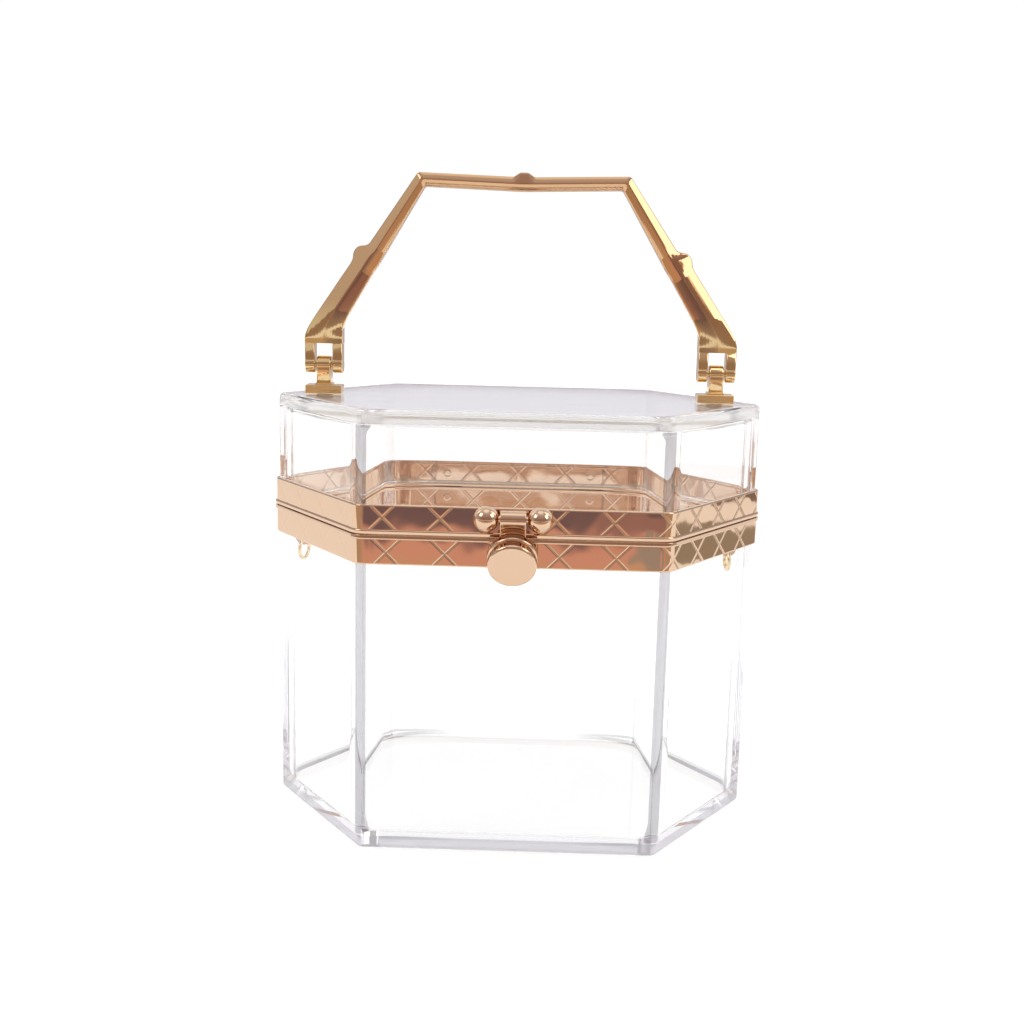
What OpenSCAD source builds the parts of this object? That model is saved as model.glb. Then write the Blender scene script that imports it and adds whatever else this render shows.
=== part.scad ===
// Clear six-sided card box. A deep base and a shallow lid, each moulded in clear plastic,
// are edged with gold sheet-metal frames that meet at the split line. Two butt hinges join
// the frames at the back, a ball hasp with a turned knob closes them at the front, and a
// cast handle folds on two forked joints on top of the lid.

/* [Box] */
// Width of the box from side point to side point, before its corners are rounded
box_w = 161; // [135:0.5:220]
// Width of the flat front face and of the flat back face
face_w = 93.5; // [80:0.5:105]
// Depth of the box from front face to back face
box_d = 94.5; // [84:0.5:120]
// Height of the closed box without its handle
box_h = 139; // [130:1:200]
// Height of the line where the lid parts from the base
split_z = 101.6; // [80:0.1:105]
// Thickness of the clear walls
wall_t = 3; // [2.4:0.1:3.4]
// Thickness of the base's floor
floor_t = 4.7; // [3:0.1:8]
// Thickness of the lid's top plate
top_t = 4.5; // [3:0.1:6]
// Radius of the shells' upright outer corners
shell_r = 4; // [1:0.1:6]
// Radius of the shells' upright inner corners
inner_r = 12; // [3:0.5:14]
// Bevel round the bottom of the base and the top of the lid
rim_bevel = 1.5; // [0.5:0.1:2]

/* [Frames] */
// Height of the base's band
lower_band_h = 9.2; // [8.6:0.1:14]
// Height of the lid's band
upper_band_h = 8.9; // [8.6:0.1:14]
// Thickness of the sheet metal
band_t = 0.8; // [0.6:0.05:1.2]
// Gap between the band and the wall, closed by the band's folded edge
band_gap = 0.45; // [0.3:0.05:0.8]
// Bend radius of the bands at their corners
band_r = 5.2; // [4:0.1:7.5]
// Height of the folded edge that touches the wall
fold_h = 0.9; // [0.5:0.05:1.2]
// Thickness of the flange that caps the wall's edge
flange_t = 1; // [0.6:0.05:1.5]
// How far the flange reaches past the wall's inner face
flange_in = 0.8; // [0.3:0.05:2]
// Height of the bead along the meeting edge
bead_h = 1.4; // [1:0.05:2]
// How far the bead stands proud of the band
bead_out = 0.6; // [0.3:0.05:0.9]
// Gap between the two frames when the lid is closed
seam_gap = 0.3; // [0.2:0.05:0.6]

/* [Hinges] */
// Distance of each hinge from the middle of the back
hinge_x = 26.6; // [12:0.1:30]
// Width of each hinge
hinge_w = 11; // [9:0.1:14]
// Height of each hinge leaf above or below the split line
hinge_leaf_h = 7.6; // [7:0.1:8]
// Thickness of each hinge leaf
hinge_leaf_t = 0.8; // [0.5:0.05:1]
// Diameter of the hinge knuckles
knuckle_d = 2.8; // [2.6:0.05:3.4]
// Diameter of the hinge pins
hinge_pin_d = 1.4; // [1:0.05:1.6]
// Gap between neighbouring knuckles
knuckle_gap = 0.2; // [0.1:0.05:0.4]
// Gap between the knuckles and the face of the bands
knuckle_stand_off = 0.25; // [0.15:0.05:0.5]
// Diameter of the rivets' shanks
rivet_d = 2.4; // [1.6:0.1:2.8]
// Diameter of the rivets' heads
rivet_head_d = 3.8; // [3:0.1:4.4]
// Height of the rivets' heads
rivet_head_h = 0.7; // [0.4:0.05:1]

/* [Clasp] */
// Diameter of the two balls
ball_d = 7.6; // [6:0.1:7.8]
// Distance of each ball from the middle of the front
ball_x = 8; // [7.9:0.1:10]
// Diameter of the stem between a ball and the band
ball_stem_d = 4.4; // [3:0.1:6]
// Height of the clasp pin above the split line
clasp_rise = 6.7; // [5:0.1:7]
// Distance of the clasp pin in front of the band
clasp_out = 5.6; // [5.4:0.1:7]
// Diameter of the clasp pin
clasp_pin_d = 2; // [1.4:0.1:2.6]
// How far the clasp pin enters each ball
clasp_pin_in = 3; // [2:0.1:4]
// Diameter of the hasp's rolled barrel
barrel_d = 5.2; // [4.4:0.1:5.6]
// Gap at each end of the barrel
barrel_gap = 0.35; // [0.2:0.05:0.6]
// Thickness of the hasp's leaf
hasp_t = 1.3; // [1:0.1:1.6]
// Length of the hasp from its pin to its lower end
hasp_l = 13.6; // [12.8:0.1:14]
// Inward lean of the closed hasp, in degrees
hasp_tilt = 23; // [18:0.5:24]
// Distance of the knob's middle below the clasp pin, along the leaf
knob_drop = 10.7; // [9.5:0.1:11]
// Diameter of the knob's rear flange
knob_d = 15.2; // [12:0.1:16]
// Thickness of the knob's rear flange
knob_flange_t = 2.9; // [2:0.1:4]
// Diameter at the bottom of the knob's groove
knob_groove_d = 12.6; // [9:0.1:13]
// Width of the knob's groove
knob_groove_w = 0.8; // [0.5:0.05:1.2]
// Diameter of the knob's front disc
knob_cap_d = 14.7; // [12:0.1:16]
// Thickness of the knob's front disc
knob_cap_t = 2.9; // [2:0.1:4]
// Radius of the knob's rounded edges
knob_edge_r = 0.9; // [0.3:0.05:0.95]
// Diameter of the knob's shank in the leaf
knob_shank_d = 3; // [2:0.1:4]
// Diameter of the catch magnet
magnet_d = 5; // [4:0.1:6]
// How far the catch magnet stands proud of the band
magnet_out = 0.5; // [0.2:0.05:0.55]
// Gap between the magnet and its hole in the band
magnet_clearance = 0.05; // [0.02:0.01:0.1]

/* [Handle] */
// How far each handle joint stands in from the box's side point
joint_inset = 15.9; // [14.5:0.1:20]
// Height of the handle pins above the lid
joint_rise = 9.6; // [9.2:0.1:12]
// Height of the handle's top bar above its pins
handle_rise = 62.3; // [50:0.1:90]
// Half the width of the handle's top bar at its outer corners
bar_half_w = 34.1; // [25:0.1:45]
// Height of the top bar's section
bar_t = 4.5; // [3.5:0.1:7]
// Sag of the top bar in its middle
bar_sag = 0.9; // [0:0.1:2]
// Width of a leg just below its knot
leg_low_w = 7.9; // [6:0.1:9]
// Width of a leg just above its knot
leg_high_w = 6.2; // [4.6:0.1:7]
// How far a leg's outer edge steps in at its knot
leg_step = 1.4; // [0:0.1:2]
// Place of the knots along the legs, as a share of the leg's length from its knee
knot_at = 0.48; // [0.3:0.01:0.7]
// Length of a knot at its foot
knot_l = 8; // [5:0.1:10]
// Length of a knot at its crest
knot_crest_l = 3.2; // [2:0.1:4.5]
// How far a leg's knot stands proud
knot_h = 2.3; // [1:0.1:3]
// How far the top bar's knot stands proud
bar_knot_h = 1.6; // [0.8:0.1:2.5]
// Depth of the handle at its crease
handle_d = 5.8; // [4.5:0.1:6]
// Depth of the flat along the top bar's outer and inner edge
bar_flat_d = 3.2; // [2:0.1:4.4]
// Depth of the knots
knot_d = 4.4; // [3:0.1:5]
// Width of each fork
fork_w = 12.6; // [11:0.1:14]
// Gap between the prongs of a fork
fork_gap = 6; // [5.4:0.1:7]
// Height of the top of the fork's gap above its pin
fork_rise = 7.6; // [4.5:0.1:10]
// Height of the knee's outer corner above the pin
knee_rise = 9.3; // [8:0.1:12]
// Height of the bevel above the knee's outer corner
knee_bevel_h = 3.7; // [2:0.1:6]
// Width of the bevel at the knee's outer corner
knee_bevel_w = 1.4; // [0.5:0.1:3]
// Height of the knee's inner corner above the pin
knee_inner_rise = 13.2; // [12:0.1:17]
// Diameter of the prongs' rounded ends
prong_end_d = 6.2; // [5.9:0.1:7]
// How far the prongs' sides stand in from the knee's
prong_inset = 0.1; // [0.05:0.05:0.3]
// How far the handle pins' ends stand in from the prongs' sides
handle_pin_inset = 0.2; // [0.1:0.1:0.6]
// Diameter of the handle pins
handle_pin_d = 2; // [1.4:0.1:3]

/* [Handle mounts] */
// Width of a mount's block
block_w = 12; // [9:0.1:14]
// Depth of a mount's block
block_d = 7; // [6.4:0.1:10]
// Height of a mount's block
block_h = 3; // [2:0.1:3.6]
// Bevel round the top of the block
block_bevel = 0.5; // [0.2:0.05:0.8]
// Height of the step at the foot of the post
plinth_h = 0.6; // [0.3:0.05:1]
// How far the step stands out round the post
plinth_out = 0.5; // [0.2:0.05:0.8]
// Width of the post between the prongs
post_w = 4.7; // [3.5:0.1:5.2]
// Depth of the post
post_d = 5; // [4:0.1:5.8]
// Diameter of the post's rounded head
post_head_d = 6.4; // [6:0.1:7.4]
// Diameter of the mount screws
screw_d = 3; // [2:0.1:4]
// How far a mount screw enters its block
screw_in = 2.5; // [1.5:0.1:3]
// Diameter of the mount screws' heads
screw_head_d = 5.6; // [4.5:0.1:8]
// Height of the mount screws' heads
screw_head_h = 1.7; // [1:0.1:2.5]

/* [Strap rings] */
// How far each ring hangs in from the box's side point
ring_inset = 10.5; // [10:0.1:15]
// Distance of a ring's eye below the split line
ring_drop = 11.2; // [10.5:0.1:16]
// Outer diameter of a ring
ring_d = 8; // [7:0.1:9]
// Diameter of a ring's wire
ring_wire_d = 1.3; // [0.8:0.05:1.6]
// Turn of the left ring in its eye, in degrees
ring_turn_left = -17; // [-25:1:25]
// Turn of the right ring in its eye, in degrees
ring_turn_right = 4; // [-25:1:25]
// Diameter of the eye that holds a ring
eye_d = 3; // [2.7:0.1:3.4]
// Width of metal round the eye
eye_rim = 1.3; // [0.8:0.1:2]
// Thickness of a ring lug
lug_t = 1.2; // [0.8:0.1:1.4]
// Width of the lug's foot under the flange
lug_foot_w = 4.6; // [3:0.1:5]

/* [Fits] */
// Running clearance round each pin that something turns on, on the radius
running_fit = 0.05; // [0.02:0.01:0.1]
// Gap between a hanging ring and the lower edge of its eye
ring_fit = 0.15; // [0.1:0.01:0.2]
// Clearance round the mount screws in the lid, on the radius
screw_fit = 0.15; // [0.05:0.01:0.3]

/* [Hidden] */

// Overlap that makes a cut pass clean through a face
cut = 0.5;
// Straight segments in each bend of a wall or a band
bend_steps = 5;
// Smoothness of turned and drilled shapes
round_fn = 64;
// Smoothness of a rounded edge's profile
edge_steps = 4;
// Screw heads, as shares of their radius: dome, and length and width of the crossed recess
screw_dome = 1.6;
screw_slot_l = 1.2;
screw_slot_w = 0.24;

// Plan of the box: half sizes and the turn of the slanted sides' normals
half_w = box_w / 2;
half_f = face_w / 2;
half_d = box_d / 2;
slant = half_w - half_f;
slant_l = sqrt(slant * slant + half_d * half_d);
slant_turn = atan2(slant, half_d);

// Layers of the frames, as distances out from the wall's outer face
band_in = band_gap;
band_out = band_gap + band_t;
bead_edge = band_out + bead_out;
flange_edge = -(wall_t + flange_in);

// Levels of the frames and shells
lower_top = split_z - seam_gap / 2;
upper_bottom = split_z + seam_gap / 2;
lower_band_z = lower_top - lower_band_h;
base_top = lower_top - flange_t;
lid_bottom = upper_bottom + flange_t;
lid_inside_z = box_h - top_t;

// Hinge axis
band_back_y = half_d + band_out;
hinge_y = band_back_y + knuckle_stand_off + knuckle_d / 2;
knuckle_l = (hinge_w - 2 * knuckle_gap) / 3;
leaf_clear = knuckle_d / 2 + knuckle_gap;
rivet_rise = (hinge_leaf_h + leaf_clear) / 2;

// Clasp axis, and the knob's stack above the hasp's pin line
band_front_y = -(half_d + band_out);
clasp_y = band_front_y - clasp_out;
clasp_z = split_z + clasp_rise;
barrel_l = 2 * (ball_x - ball_d / 2 - barrel_gap);
leaf_out = barrel_d / 2;
leaf_in = leaf_out - hasp_t;
knob_l = knob_flange_t + knob_groove_w + knob_cap_t;
magnet_z = clasp_z - knob_drop * cos(hasp_tilt);

// Handle joints and levels
joint_x = half_w - joint_inset;
pin_z = box_h + joint_rise;
bar_z = pin_z + handle_rise;
fork_top_z = pin_z + fork_rise;
knee_z = pin_z + knee_rise;
fork_outer_x = joint_x + fork_w / 2;
fork_inner_x = joint_x - fork_w / 2;
prong_w = (fork_w - fork_gap) / 2;
prong_d = handle_d - 2 * prong_inset;
plinth_z = box_h + block_h;

// Ring places and levels
ring_x = half_w - ring_inset;
eye_z = split_z - ring_drop;
ring_r = (ring_d - ring_wire_d) / 2;
ring_pivot_z = eye_z - (eye_d - ring_wire_d) / 2 + ring_fit;
lug_tip_r = eye_d / 2 + eye_rim;
gusset_x = ring_x + eye_d / 2;

clear_plastic = [0.86, 0.86, 0.90, 0.35];
rose_gold = [0.86, 0.66, 0.47];
pale_gold = [0.80, 0.66, 0.42];
steel = [0.72, 0.72, 0.74];

// Half sizes of the six-sided plan, moved out by d
function plan_w(d) = half_w + d * slant_l / half_d;
function plan_f(d) = half_f + d * (slant_l - slant) / half_d;
function plan_d(d) = half_d + d;

// The six corners in turn: place signs, and the turn of the wall before and after each
function corners() = [
  [1, 0, -slant_turn, slant_turn],
  [1, 1, slant_turn, 90],
  [-1, 1, 90, 180 - slant_turn],
  [-1, 0, 180 - slant_turn, 180 + slant_turn],
  [-1, -1, 180 + slant_turn, 270],
  [1, -1, 270, 360 - slant_turn]
];

// Outline of the plan moved out by d, with corners of radius r
function plan(d, r) = [
  for (c = corners())
    let (cx = c[0] * (c[1] == 0 ? plan_w(d - r) : plan_f(d - r)), cy = c[1] * plan_d(d - r))
      for (k = [0 : bend_steps])
        let (turn = c[2] + (c[3] - c[2]) * k / bend_steps)
          [cx + r * cos(turn), cy + r * sin(turn)]
];

// Solid slab of the plan
module slab(d, r, z0, z1) {
  translate([0, 0, z0]) linear_extrude(z1 - z0) polygon(plan(d, r));
}

// Ring between two outlines of the plan
module hoop(d_out, r_out, d_in, r_in, z0, z1) {
  translate([0, 0, z0]) linear_extrude(z1 - z0) difference() {
    polygon(plan(d_out, r_out));
    polygon(plan(d_in, r_in));
  }
}

// Cutters that bevel the six edges at height z; up is 1 for a top edge and -1 for a bottom edge
module rim_cutters(z, up) {
  for (turn = [-slant_turn, slant_turn, 90, 180 - slant_turn, 180 + slant_turn, 270])
    let (reach = abs(sin(turn)) == 1 ? half_d : half_w * cos(slant_turn))
      rotate([0, 0, turn]) translate([reach, 0, z]) rotate([0, 45, 0])
        cube([rim_bevel * sqrt(2), box_w, rim_bevel * sqrt(2)], center = true);
}

module base_shell() {
  color(clear_plastic) difference() {
    slab(0, shell_r, 0, base_top);
    slab(-wall_t, inner_r, floor_t, base_top + cut);
    rim_cutters(0, -1);
  }
}

module lid_shell() {
  color(clear_plastic) difference() {
    slab(0, shell_r, lid_bottom, box_h);
    slab(-wall_t, inner_r, lid_bottom - cut, lid_inside_z);
    rim_cutters(box_h, 1);
    for (side = [-1, 1]) translate([side * joint_x, 0, lid_inside_z - cut])
      cylinder(h = top_t + 2 * cut, r = screw_d / 2 + screw_fit, $fn = round_fn);
  }
}

// Sheet-metal frame: band, folded edge, flange over the wall's edge, and bead.
// z_edge is the meeting edge, and dir points from it towards the band.
module frame_hoops(z_edge, dir, band_h) {
  z_far = z_edge + dir * band_h;
  hoop(band_out, band_r, band_in, band_r - band_t, min(z_edge, z_far), max(z_edge, z_far));
  hoop(band_out - band_t / 2, band_r - band_t / 2, 0, shell_r,
    min(z_far, z_far - dir * fold_h), max(z_far, z_far - dir * fold_h));
  hoop(band_out - band_t / 2, band_r - band_t / 2, flange_edge, inner_r,
    min(z_edge, z_edge + dir * flange_t), max(z_edge, z_edge + dir * flange_t));
  difference() {
    hoop(bead_edge, band_r + bead_out, band_in + band_t / 2, band_r - band_t / 2,
      min(z_edge, z_edge + dir * bead_h), max(z_edge, z_edge + dir * bead_h));
    for (side = [-1, 1]) translate([side * hinge_x, band_back_y + bead_out, z_edge])
      cube([hinge_w + 2 * knuckle_gap, 2 * bead_out, 4 * bead_h], center = true);
  }
}

// Holes for the hinge rivets, rise above or below the split line
module rivet_holes(rise) {
  for (side = [-1, 1]) translate([side * hinge_x, band_back_y + cut, split_z + rise])
    rotate([90, 0, 0]) cylinder(h = band_t + 2 * cut, d = rivet_d, $fn = round_fn);
}

module lower_frame() {
  color(rose_gold) {
    difference() {
      frame_hoops(lower_top, -1, lower_band_h);
      rivet_holes(-rivet_rise);
      translate([0, band_front_y - cut, magnet_z]) rotate([-90, 0, 0])
        cylinder(h = band_t + 2 * cut, r = magnet_d / 2 + magnet_clearance, $fn = round_fn);
    }
    for (side = [-1, 1]) corner_gusset(side);
  }
}

// Web that fills the flange's side corner and carries a ring lug
module corner_gusset(side) {
  inside_x = plan_w(flange_edge + flange_in / 2);
  rise = (inside_x - gusset_x) * half_d / slant;
  translate([0, 0, base_top]) linear_extrude(flange_t)
    polygon([[side * inside_x, 0], [side * gusset_x, rise], [side * gusset_x, -rise]]);
}

module upper_frame() {
  color(rose_gold) difference() {
    frame_hoops(upper_bottom, 1, upper_band_h);
    rivet_holes(rivet_rise);
  }
}

// Hinge leaf with its knuckles; dir is 1 for the lid's leaf and -1 for the base's.
// knuckles lists the places, in thirds from the middle, of this leaf's knuckles.
module hinge_leaf(side, dir, knuckles, bore_r) {
  leaf_h = hinge_leaf_h - leaf_clear;
  color(rose_gold) translate([side * hinge_x, 0, split_z]) difference() {
    union() {
      translate([-hinge_w / 2, band_back_y, dir > 0 ? leaf_clear : -hinge_leaf_h])
        cube([hinge_w, hinge_leaf_t, leaf_h]);
      for (k = knuckles) translate([k * (knuckle_l + knuckle_gap), hinge_y, 0]) {
        rotate([0, 90, 0])
          cylinder(h = knuckle_l, d = knuckle_d, center = true, $fn = round_fn);
        translate([-knuckle_l / 2, band_back_y - hinge_y, dir > 0 ? 0 : -leaf_clear - cut])
          cube([knuckle_l, hinge_leaf_t, leaf_clear + cut]);
      }
    }
    translate([0, hinge_y, 0]) rotate([0, 90, 0])
      cylinder(h = hinge_w + 2 * cut, r = bore_r, center = true, $fn = round_fn);
    translate([0, band_back_y + hinge_leaf_t + cut, dir * rivet_rise]) rotate([90, 0, 0])
      cylinder(h = hinge_leaf_t + 2 * cut, d = rivet_d, $fn = round_fn);
  }
}

module lower_hinge_leaf_left() { hinge_leaf(-1, -1, [-1, 1], hinge_pin_d / 2); }
module lower_hinge_leaf_right() { hinge_leaf(1, -1, [-1, 1], hinge_pin_d / 2); }
module upper_hinge_leaf_left() { hinge_leaf(-1, 1, [0], hinge_pin_d / 2 + running_fit); }
module upper_hinge_leaf_right() { hinge_leaf(1, 1, [0], hinge_pin_d / 2 + running_fit); }

// Two rivets, each with a low domed head outside and its tail flush inside the band
module rivets(rise) {
  shank_l = band_t + hinge_leaf_t;
  color(rose_gold) for (side = [-1, 1])
    translate([side * hinge_x, band_back_y - band_t, split_z + rise]) rotate([-90, 0, 0]) {
      cylinder(h = shank_l, d = rivet_d, $fn = round_fn);
      translate([0, 0, shank_l]) dome(rivet_head_d / 2, rivet_head_h);
    }
}

// Low dome on the plane z = 0
module dome(r, h) {
  ball_r = (r * r + h * h) / (2 * h);
  difference() {
    translate([0, 0, h - ball_r]) sphere(r = ball_r, $fn = round_fn);
    translate([0, 0, -2 * ball_r]) cylinder(h = 2 * ball_r, r = 2 * ball_r, $fn = round_fn);
  }
}

module lower_rivets() { rivets(-rivet_rise); }
module upper_rivets() { rivets(rivet_rise); }

module hinge_pin(side) {
  color(rose_gold) translate([side * hinge_x, hinge_y, split_z]) rotate([0, 90, 0])
    cylinder(h = hinge_w, d = hinge_pin_d, center = true, $fn = round_fn);
}

module hinge_pin_left() { hinge_pin(-1); }
module hinge_pin_right() { hinge_pin(1); }

// Round magnet let into the base's band behind the knob
module catch_magnet() {
  color(steel) translate([0, band_front_y - magnet_out, magnet_z]) rotate([-90, 0, 0])
    cylinder(h = magnet_out + band_t, d = magnet_d, $fn = round_fn);
}

// Bent lug: a foot under the flange's corner web and a tab with the ring's eye
module ring_lug(side) {
  foot_end_x = ring_x + lug_tip_r;
  color(rose_gold) {
    translate([side * (ring_x + foot_end_x) / 2, 0, base_top - lug_t / 2])
      cube([foot_end_x - ring_x, lug_foot_w, lug_t], center = true);
    difference() {
      union() {
        translate([side * (ring_x + lug_tip_r / 2), 0, (eye_z + base_top) / 2])
          cube([lug_tip_r, lug_t, base_top - eye_z], center = true);
        translate([side * ring_x, 0, eye_z]) rotate([90, 0, 0])
          cylinder(h = lug_t, r = lug_tip_r, center = true, $fn = round_fn);
      }
      translate([side * ring_x, 0, eye_z]) rotate([90, 0, 0])
        cylinder(h = 2 * lug_t, d = eye_d, center = true, $fn = round_fn);
    }
  }
}

module ring_lug_left() { ring_lug(-1); }
module ring_lug_right() { ring_lug(1); }

// Ring that hangs in its lug's eye, turned about the upright
module strap_ring(side, turn) {
  color(pale_gold) translate([side * ring_x, 0, ring_pivot_z - ring_r]) rotate([0, 0, turn])
    rotate([0, 90, 0]) rotate_extrude($fn = round_fn)
      translate([ring_r, 0]) circle(d = ring_wire_d, $fn = round_fn / 2);
}

module strap_ring_left() { strap_ring(-1, ring_turn_left); }
module strap_ring_right() { strap_ring(1, ring_turn_right); }

// Ball on a short stem, with a blind bore on its inner side for the clasp pin
module clasp_ball(side) {
  ball_r = ball_d / 2;
  stem_in = ball_r / 2;
  color(rose_gold) translate([side * ball_x, clasp_y, clasp_z]) {
    rotate([0, -side * 90, 0]) rotate_extrude($fn = round_fn) difference() {
      circle(r = ball_r, $fn = round_fn);
      translate([-ball_d, -ball_r]) square([ball_d, ball_d]);
      translate([-cut, ball_r - clasp_pin_in]) square([clasp_pin_d / 2 + cut, ball_r]);
    }
    translate([0, stem_in, 0]) rotate([-90, 0, 0])
      cylinder(h = clasp_out - stem_in, d = ball_stem_d, $fn = round_fn);
  }
}

module clasp_ball_left() { clasp_ball(-1); }
module clasp_ball_right() { clasp_ball(1); }

// Pin between the two balls, its ends in their bores
module clasp_pin() {
  pin_l = 2 * (ball_x - ball_d / 2 + clasp_pin_in);
  color(rose_gold) translate([0, clasp_y, clasp_z]) rotate([0, 90, 0])
    cylinder(h = pin_l, d = clasp_pin_d, center = true, $fn = round_fn);
}

// Places its children at the clasp pin: +Z along the knob's axis, +Y towards the hasp's end
module hasp_place() {
  translate([0, clasp_y, clasp_z]) rotate([90 + hasp_tilt, 0, 0]) mirror([0, 1, 0]) children();
}

// Leaf rolled round the pin at its upper end
module hasp_leaf() {
  end_r = barrel_l / 2;
  color(rose_gold) hasp_place() difference() {
    union() {
      rotate([0, 90, 0]) cylinder(h = barrel_l, d = barrel_d, center = true, $fn = round_fn);
      translate([-barrel_l / 2, 0, leaf_in]) cube([barrel_l, hasp_l - end_r, hasp_t]);
      translate([0, hasp_l - end_r, leaf_in])
        cylinder(h = hasp_t, r = end_r, $fn = round_fn);
    }
    rotate([0, 90, 0]) cylinder(h = barrel_l + 2 * cut, r = clasp_pin_d / 2 + running_fit,
      center = true, $fn = round_fn);
    translate([0, knob_drop, leaf_in - cut])
      cylinder(h = hasp_t + 2 * cut, d = knob_shank_d, $fn = round_fn);
  }
}

// Quarter-round edge of a turned profile, from turn a to turn b about [x, y]
function edge(x, y, a, b) = [
  for (k = [0 : edge_steps]) let (t = a + (b - a) * k / edge_steps)
    [x + knob_edge_r * cos(t), y + knob_edge_r * sin(t)]
];

// Turned knob: flange, groove and front disc, with a shank through the leaf
module clasp_knob() {
  z0 = leaf_out;
  z1 = z0 + knob_flange_t;
  z2 = z1 + knob_groove_w;
  z3 = z0 + knob_l;
  flange_x = knob_d / 2 - knob_edge_r;
  cap_x = knob_cap_d / 2 - knob_edge_r;
  profile = concat(
    [[0, leaf_in], [knob_shank_d / 2, leaf_in], [knob_shank_d / 2, z0]],
    edge(flange_x, z0 + knob_edge_r, -90, 0),
    edge(flange_x, z1 - knob_edge_r, 0, 90),
    [[knob_groove_d / 2, z1], [knob_groove_d / 2, z2]],
    edge(cap_x, z2 + knob_edge_r, -90, 0),
    edge(cap_x, z3 - knob_edge_r, 0, 90),
    [[0, z3]]
  );
  color(rose_gold) hasp_place() translate([0, knob_drop, 0])
    rotate_extrude($fn = round_fn) polygon(profile);
}

// Mount on the lid: bevelled block, stepped foot and a post with a round head
module handle_mount(side) {
  color(pale_gold) translate([side * joint_x, 0, 0]) difference() {
    union() {
      difference() {
        translate([-block_w / 2, -block_d / 2, box_h]) cube([block_w, block_d, block_h]);
        for (turn = [0 : 90 : 270])
          let (reach = turn % 180 == 0 ? block_w / 2 : block_d / 2)
            rotate([0, 0, turn]) translate([reach, 0, plinth_z]) rotate([0, 45, 0])
              cube([block_bevel * sqrt(2), 2 * block_w, block_bevel * sqrt(2)], center = true);
      }
      translate([0, 0, plinth_z + plinth_h / 2])
        cube([post_w + 2 * plinth_out, post_d + 2 * plinth_out, plinth_h], center = true);
      translate([-post_w / 2, -post_d / 2, plinth_z]) cube([post_w, post_d, pin_z - plinth_z]);
      translate([0, 0, pin_z]) rotate([0, 90, 0])
        cylinder(h = post_w, d = post_head_d, center = true, $fn = round_fn);
    }
    translate([0, 0, pin_z]) rotate([0, 90, 0]) cylinder(h = post_w + 2 * cut,
      r = handle_pin_d / 2 + running_fit, center = true, $fn = round_fn);
    translate([0, 0, box_h - cut]) cylinder(h = screw_in + cut, d = screw_d, $fn = round_fn);
  }
}

module handle_mount_left() { handle_mount(-1); }
module handle_mount_right() { handle_mount(1); }

// Screw from inside the lid into the mount's block
module mount_screw(side) {
  color(steel) translate([side * joint_x, 0, lid_inside_z]) {
    cylinder(h = top_t + screw_in, d = screw_d, $fn = round_fn);
    rotate([180, 0, 0]) screw_head(screw_head_d / 2, screw_head_h);
  }
}

// Domed screw head with a crossed recess, on the plane z = 0
module screw_head(r, h) {
  dome_r = screw_dome * r;
  slot = [screw_slot_l * r, screw_slot_w * r, h];
  difference() {
    intersection() {
      cylinder(h = h, r = r, $fn = round_fn);
      translate([0, 0, h - dome_r]) sphere(r = dome_r, $fn = round_fn);
    }
    for (turn = [0, 90]) rotate([0, 0, turn]) translate([0, 0, h])
      cube(slot, center = true);
  }
}

module mount_screw_left() { mount_screw(-1); }
module mount_screw_right() { mount_screw(1); }

// Points that shape the right leg and its corner with the top bar, as [x, z]
knee_corner = [fork_outer_x, knee_z];
knee_out = [fork_outer_x - knee_bevel_w, knee_z + knee_bevel_h];
knee_in = [fork_inner_x, pin_z + knee_inner_rise];
bar_out = [bar_half_w, bar_z];
leg_dir = (bar_out - knee_out) / norm(bar_out - knee_out);
leg_side = [-leg_dir[1], leg_dir[0]];
bar_in = bar_out + bar_t * leg_side - leg_dir * bar_t * (1 + leg_dir[0]) / leg_dir[1];
knot_mid = knee_out + (bar_out - knee_out) * knot_at;
knot_low = knot_mid - leg_dir * knot_crest_l / 2 - leg_side * leg_step / 2;
knot_high = knot_mid + leg_dir * knot_crest_l / 2 + leg_side * leg_step / 2;

// Half depths of the handle: of its edge flats at the fork, the knee and the bar, and of its crease
fork_flat = handle_d / 2 - prong_inset / 2;
bar_flat = bar_flat_d / 2;
knee_flat = (fork_flat + bar_flat) / 2;
crease = handle_d / 2;

// Sections along the right half, from the fork to the middle of the bar:
// outer point, inner point and half depth of the edge flats
half_sections = [
  [[fork_outer_x, fork_top_z], [fork_inner_x, fork_top_z], fork_flat],
  [knee_corner, [fork_inner_x, knee_z], fork_flat],
  [knee_out, knee_in, knee_flat],
  [knot_low, knot_low + leg_low_w * leg_side, bar_flat],
  [knot_high, knot_high + leg_high_w * leg_side, bar_flat],
  [bar_out, bar_in, bar_flat]
];
middle_section = [[0, bar_z - bar_sag], [0, bar_z - bar_sag - bar_t], bar_flat];

// The whole handle's sections: right half, middle, and the right half mirrored and reversed
function mirrored(s) = [[-s[0][0], s[0][1]], [-s[1][0], s[1][1]], s[2]];
last = len(half_sections) - 1;
sections = concat(half_sections, [middle_section],
  [for (k = [0 : last]) mirrored(half_sections[last - k])]);

// Six points of one section: flats on the outer and inner edge, and a crease at mid width
function ring_of(s) =
  let (mid = (s[0] + s[1]) / 2)
    [
      [s[0][0], -s[2], s[0][1]],
      [mid[0], -crease, mid[1]],
      [s[1][0], -s[2], s[1][1]],
      [s[1][0], s[2], s[1][1]],
      [mid[0], crease, mid[1]],
      [s[0][0], s[2], s[0][1]]
    ];

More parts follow.
